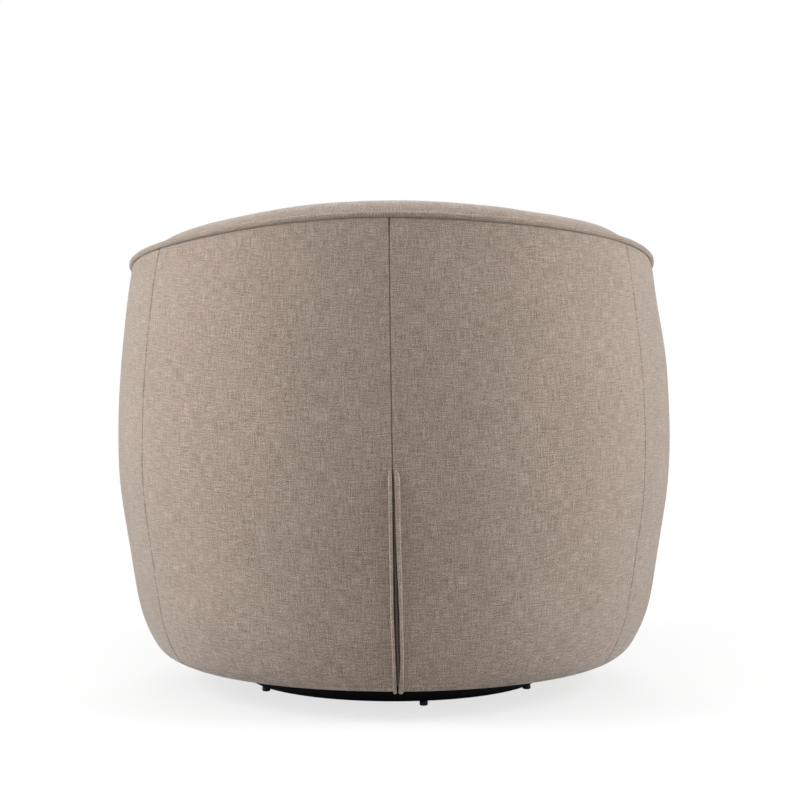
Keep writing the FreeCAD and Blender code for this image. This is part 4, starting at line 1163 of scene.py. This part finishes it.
rows = []
for step in range(TAPE_STEPS + 1):
    height = TAPE_LOW + TAPE_LENGTH * step / TAPE_STEPS
    rows.append([in_gap(height, sideways, out) for sideways, out in (
        (-TAPE_HALF, -TAPE_DEPTH), (TAPE_HALF, -TAPE_DEPTH),
        (TAPE_HALF, -TAPE_DEPTH - TAPE_THICK), (-TAPE_HALF, -TAPE_DEPTH - TAPE_THICK))])
tape = laid_cloth("zip_tape", rows, closed_section=True)
settle(tape, "zip_tape")
smooth(tape, 40)

deselect()
bpy.ops.mesh.primitive_uv_sphere_add(segments=8, ring_count=5, radius=COIL_RADIUS)
turn_of_coil = bpy.context.object
bpy.ops.transform.resize(value=(1.9, 0.9, 0.85))
settle(turn_of_coil, "coil_turn")
coil_turns = []
while COIL_LOW + len(coil_turns) * COIL_PITCH < COIL_TOP:
    only(turn_of_coil)
    bpy.ops.object.duplicate()
    made = bpy.context.object
    made.location = in_gap(COIL_LOW + len(coil_turns) * COIL_PITCH, 0.0, -TAPE_DEPTH + COIL_OUT)
    coil_turns.append(made)
bpy.data.objects.remove(turn_of_coil, do_unlink=True)
deselect()
for made in coil_turns:
    made.select_set(True)
bpy.context.view_layer.objects.active = coil_turns[0]
bpy.ops.object.join()
coil = settle(bpy.context.object, "zip_turns")
smooth(coil, 60)

deselect()
slider_low, slider_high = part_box("zip_slider")
slider_height = (slider_low.z + slider_high.z) / 2 - SLIDER_DOWN
bpy.ops.mesh.primitive_cube_add(size=1.0, location=in_gap(slider_height, 0.0, -SLIDER_DEPTH))
slider = bpy.context.object
bpy.ops.transform.resize(value=SLIDER_SIZE)
settle(slider, "zip_pull")
select_faces(slider, lambda centre, normal: normal.z < -0.9)
bpy.ops.transform.resize(value=(0.6, 1.0, 1.0))
bpy.ops.object.mode_set(mode="OBJECT")
apply_modifier(slider, "BEVEL", width=0.0006, segments=3, limit_method="ANGLE")
smooth(slider, 40)
print("zip coil", len(coil_turns), "turns")

# %% [markdown]
# Every CAD node that stays also gets a finish: plywood for the frame, pressed steel for the swivel,
# moulded plastic, jute webbing, felt and black lacquer for the plinth.

# %% Hard and hidden finishes
def object_place(tree):
    return add_node(tree, "ShaderNodeTexCoord").outputs["Object"]


def plywood():
    made, tree, shader = material("birch_plywood", roughness=0.55)
    place = object_place(tree)
    grain = noise_of(tree, scaled(tree, place, 14.0, 160.0, 160.0), 1.0, 4.0)
    plies = add_node(tree, "ShaderNodeTexWave", {"Vector": place, "Scale": 55.0, "Distortion": 0.6},
                     bands_direction="Z").outputs["Fac"]
    tone = math_node(tree, "MULTIPLY_ADD", plies, 0.25, math_node(tree, "MULTIPLY", grain, 0.75))
    paint(tree, shader, tone, [(0.2, (0.42, 0.27, 0.14)), (0.8, (0.72, 0.53, 0.33))])
    bump(tree, shader, grain, 0.2, 0.0004)
    return made


def fibreboard():
    made, tree, shader = material("fibreboard", roughness=0.8)
    place = object_place(tree)
    fibres = noise_of(tree, place, 420.0, 4.0)
    paint(tree, shader, fibres, [(0.25, (0.16, 0.09, 0.05)), (0.75, (0.33, 0.21, 0.12))])
    bump(tree, shader, fibres, 0.3, 0.0003)
    return made


def lacquer():
    made, tree, shader = material("black_lacquer", roughness=0.45, Specular_IOR_Level=0.12)
    place = object_place(tree)
    fine = noise_of(tree, place, 700.0, 2.0)
    dust = noise_of(tree, place, 18.0, 4.0)
    paint(tree, shader, dust, [(0.35, (0.0016, 0.0016, 0.0018)), (0.85, (0.0050, 0.0050, 0.0055))])
    tree.links.new(math_node(tree, "MULTIPLY_ADD", fine, 0.2, 0.40), shader.inputs["Roughness"])
    bump(tree, shader, fine, 0.15, 0.0002)
    return made


def plastic(name, dark, light, roughness):
    made, tree, shader = material(name, roughness=roughness)
    place = object_place(tree)
    grain = noise_of(tree, place, 900.0, 2.0)
    paint(tree, shader, grain, [(0.3, dark), (0.7, light)])
    bump(tree, shader, grain, 0.2, 0.0002)
    return made


def metal(name, dark, light, roughness):
    made, tree, shader = material(name, roughness=roughness, metallic=1.0)
    place = object_place(tree)
    brushed = noise_of(tree, scaled(tree, place, 30.0, 700.0, 700.0), 1.0, 3.0)
    worn = noise_of(tree, place, 60.0, 4.0)
    paint(tree, shader, worn, [(0.3, dark), (0.7, light)])
    tree.links.new(math_node(tree, "MULTIPLY_ADD", brushed, 0.25, roughness - 0.1),
                   shader.inputs["Roughness"])
    return made


def woven(name, dark, light, pitch):
    made, tree, shader = material(name, roughness=0.9, Sheen_Weight=0.15)
    place = object_place(tree)
    group = add_node(tree, "ShaderNodeGroup", node_tree=weave)
    tree.links.new(place, group.inputs["Vector"])
    group.inputs["Yarn"].default_value = pitch
    paint(tree, shader, group.outputs["Tone"], [(0.2, dark), (0.8, light)])
    bump(tree, shader, group.outputs["Height"], 0.5, 0.0006)
    return made


FINISHES = {
    "birch_plywood": plywood(),
    "fibreboard": fibreboard(),
    "black_lacquer": lacquer(),
    "glide_plastic": plastic("glide_plastic", (0.003, 0.003, 0.003), (0.008, 0.008, 0.008), 0.55),
    "cage_plastic": plastic("cage_plastic", (0.50, 0.48, 0.42), (0.66, 0.64, 0.58), 0.45),
    "coil_plastic": plastic("coil_plastic", (0.32, 0.26, 0.21), (0.48, 0.41, 0.35), 0.4),
    "zinc_steel": metal("zinc_steel", (0.42, 0.43, 0.45), (0.68, 0.69, 0.70), 0.34),
    "bearing_steel": metal("bearing_steel", (0.60, 0.61, 0.62), (0.80, 0.80, 0.81), 0.16),
    "zip_metal": metal("zip_metal", (0.05, 0.04, 0.035), (0.12, 0.10, 0.085), 0.5),
    "jute_webbing": woven("jute_webbing", (0.22, 0.14, 0.07), (0.52, 0.38, 0.22), 0.0022),
    "black_dust_cloth": woven("black_dust_cloth", (0.008, 0.008, 0.008), (0.030, 0.030, 0.032), 0.0010),
    "zip_tape": woven("zip_tape", (0.060, 0.044, 0.033), (0.150, 0.114, 0.088), 0.0008),
    "felt_pad": woven("felt_pad", (0.45, 0.43, 0.40), (0.70, 0.68, 0.64), 0.0030),
}
NODE_FINISH = [
    ("rib_", "birch_plywood"), ("bottom_board", "birch_plywood"), ("seat_ring", "birch_plywood"),
    ("top_rail", "birch_plywood"), ("inner_board", "fibreboard"), ("plinth_disc", "black_lacquer"),
    ("glide_", "glide_plastic"), ("ball_cage", "cage_plastic"), ("bearing_balls", "bearing_steel"),
    ("swivel_", "zinc_steel"), ("lower_plate_screws", "zinc_steel"), ("upper_plate_screws", "zinc_steel"),
    ("webbing_", "jute_webbing"), ("deck_pad", "felt_pad"), ("dust_cloth", "black_dust_cloth"),
    ("zip_coil", "coil_plastic"), ("zip_slider", "zip_metal"),
]
for name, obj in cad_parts.items():
    for start, finish in NODE_FINISH:
        if name.startswith(start):
            obj.data.materials.clear()
            obj.data.materials.append(FINISHES[finish])
            break
    else:
        if not obj.hide_render:
            print("no finish for", name)

dress(tape, FINISHES["zip_tape"], "zip_coil", "chair")
dress(coil, FINISHES["coil_plastic"], "zip_coil", "chair", "zip_coil")
dress(slider, FINISHES["zip_metal"], "zip_metal", "chair", "zip_slider")

# %% [markdown]
# The plinth is a black disc with an eased edge on six small glides. They are modelled again here
# with rounded edges, because the thin line of light on an edge is what makes them look real.

# %% Plinth and glides
deselect()
low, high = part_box("plinth_disc")
bpy.ops.mesh.primitive_cylinder_add(vertices=144, radius=high.x, depth=high.z - low.z,
                                    location=(0, 0, (low.z + high.z) / 2))
plinth = bpy.context.object
apply_modifier(plinth, "BEVEL", width=0.0035, segments=4, limit_method="ANGLE")
settle(plinth, "plinth")
smooth(plinth, 40)
dress(plinth, FINISHES["black_lacquer"], "black_plinth", "base", "plinth_disc")

for number in range(1, 7):
    low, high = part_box("glide_%d" % number)
    centre = (low + high) / 2
    deselect()
    bpy.ops.mesh.primitive_cylinder_add(vertices=32, radius=(high.x - low.x) / 2, depth=high.z - low.z,
                                        location=centre)
    glide = bpy.context.object
    apply_modifier(glide, "BEVEL", width=0.002, segments=4, limit_method="ANGLE")
    settle(glide, "glide_foot_%d" % number)
    smooth(glide, 40)
    dress(glide, FINISHES["glide_plastic"], "glide_plastic", "base", "glide_%d" % number)

# %% [markdown]
# The stage is a pale floor under a white world. The photograph has two large soft lights
# at the sides, which brighten both flanks and leave the middle of the back darker.

# %% Stage and light
deselect()
bpy.ops.mesh.primitive_plane_add(size=60.0, location=(0, 0, 0))
floor = bpy.context.object
floor.name = "floor"
paper, tree, shader = material("white_paper", roughness=1.0, Specular_IOR_Level=0.0)
light_path = add_node(tree, "ShaderNodeLightPath")
grey = math_node(tree, "MULTIPLY_ADD", light_path.outputs["Is Camera Ray"], 0.34, 0.60)
tree.links.new(grey, shader.inputs["Base Color"])
glow = add_node(tree, "ShaderNodeEmission", {"Color": (1.0, 1.0, 1.0, 1.0), "Strength": 1.0})
mixed = add_node(tree, "ShaderNodeMixShader", {1: shader.outputs[0], 2: glow.outputs[0]})
reach = add_node(tree, "ShaderNodeVectorMath", {0: object_place(tree)}, operation="LENGTH").outputs["Value"]
away = add_node(tree, "ShaderNodeMapRange", {"Value": reach, "From Min": 0.4, "From Max": 1.5,
                                             "To Min": 0.72, "To Max": 1.0}).outputs[0]
tree.links.new(math_node(tree, "MULTIPLY", light_path.outputs["Is Camera Ray"], away), mixed.inputs[0])
tree.links.new(mixed.outputs[0], tree.nodes["Material Output"].inputs["Surface"])
floor.data.materials.append(paper)

world = bpy.data.worlds.new("studio")
bpy.context.scene.world = world
world.use_nodes = True
tree = world.node_tree
background = tree.nodes["Background"]
background.inputs["Color"].default_value = (1.0, 1.0, 1.0, 1.0)
path = add_node(tree, "ShaderNodeLightPath")
bounced = math_node(tree, "MAXIMUM", path.outputs["Is Glossy Ray"], path.outputs["Is Transmission Ray"])
seen = math_node(tree, "MAXIMUM", path.outputs["Is Camera Ray"], bounced)
AMBIENT = 0.11
tree.links.new(math_node(tree, "MULTIPLY_ADD", seen, 1.0 - AMBIENT, AMBIENT), background.inputs["Strength"])


def soft_light(name, place, target, width, height, watts):
    data = bpy.data.lights.new(name, "AREA")
    data.shape = "RECTANGLE"
    data.size, data.size_y, data.energy = width, height, watts
    lamp = bpy.data.objects.new(name, data)
    lamp.location = place
    lamp.rotation_euler = (Vector(target) - Vector(place)).to_track_quat("-Z", "Y").to_euler()
    bpy.context.collection.objects.link(lamp)


soft_light("side_light_left", (2.6, 0.72, 1.45), (0, 0, 0.35), 1.6, 2.2, 87.0)
soft_light("side_light_right", (-2.6, 0.72, 1.45), (0, 0, 0.35), 1.6, 2.2, 78.0)
soft_light("top_light", (0, 0.2, 3.0), (0, 0, 0.3), 2.4, 2.4, 24.0)
soft_light("back_light", (0, 4.2, 2.2), (0, 0, 0.3), 2.5, 1.5, 17.0)
soft_light("front_light", (0, -3.4, 2.4), (0, 0, 0.3), 2.5, 1.8, 60.0)
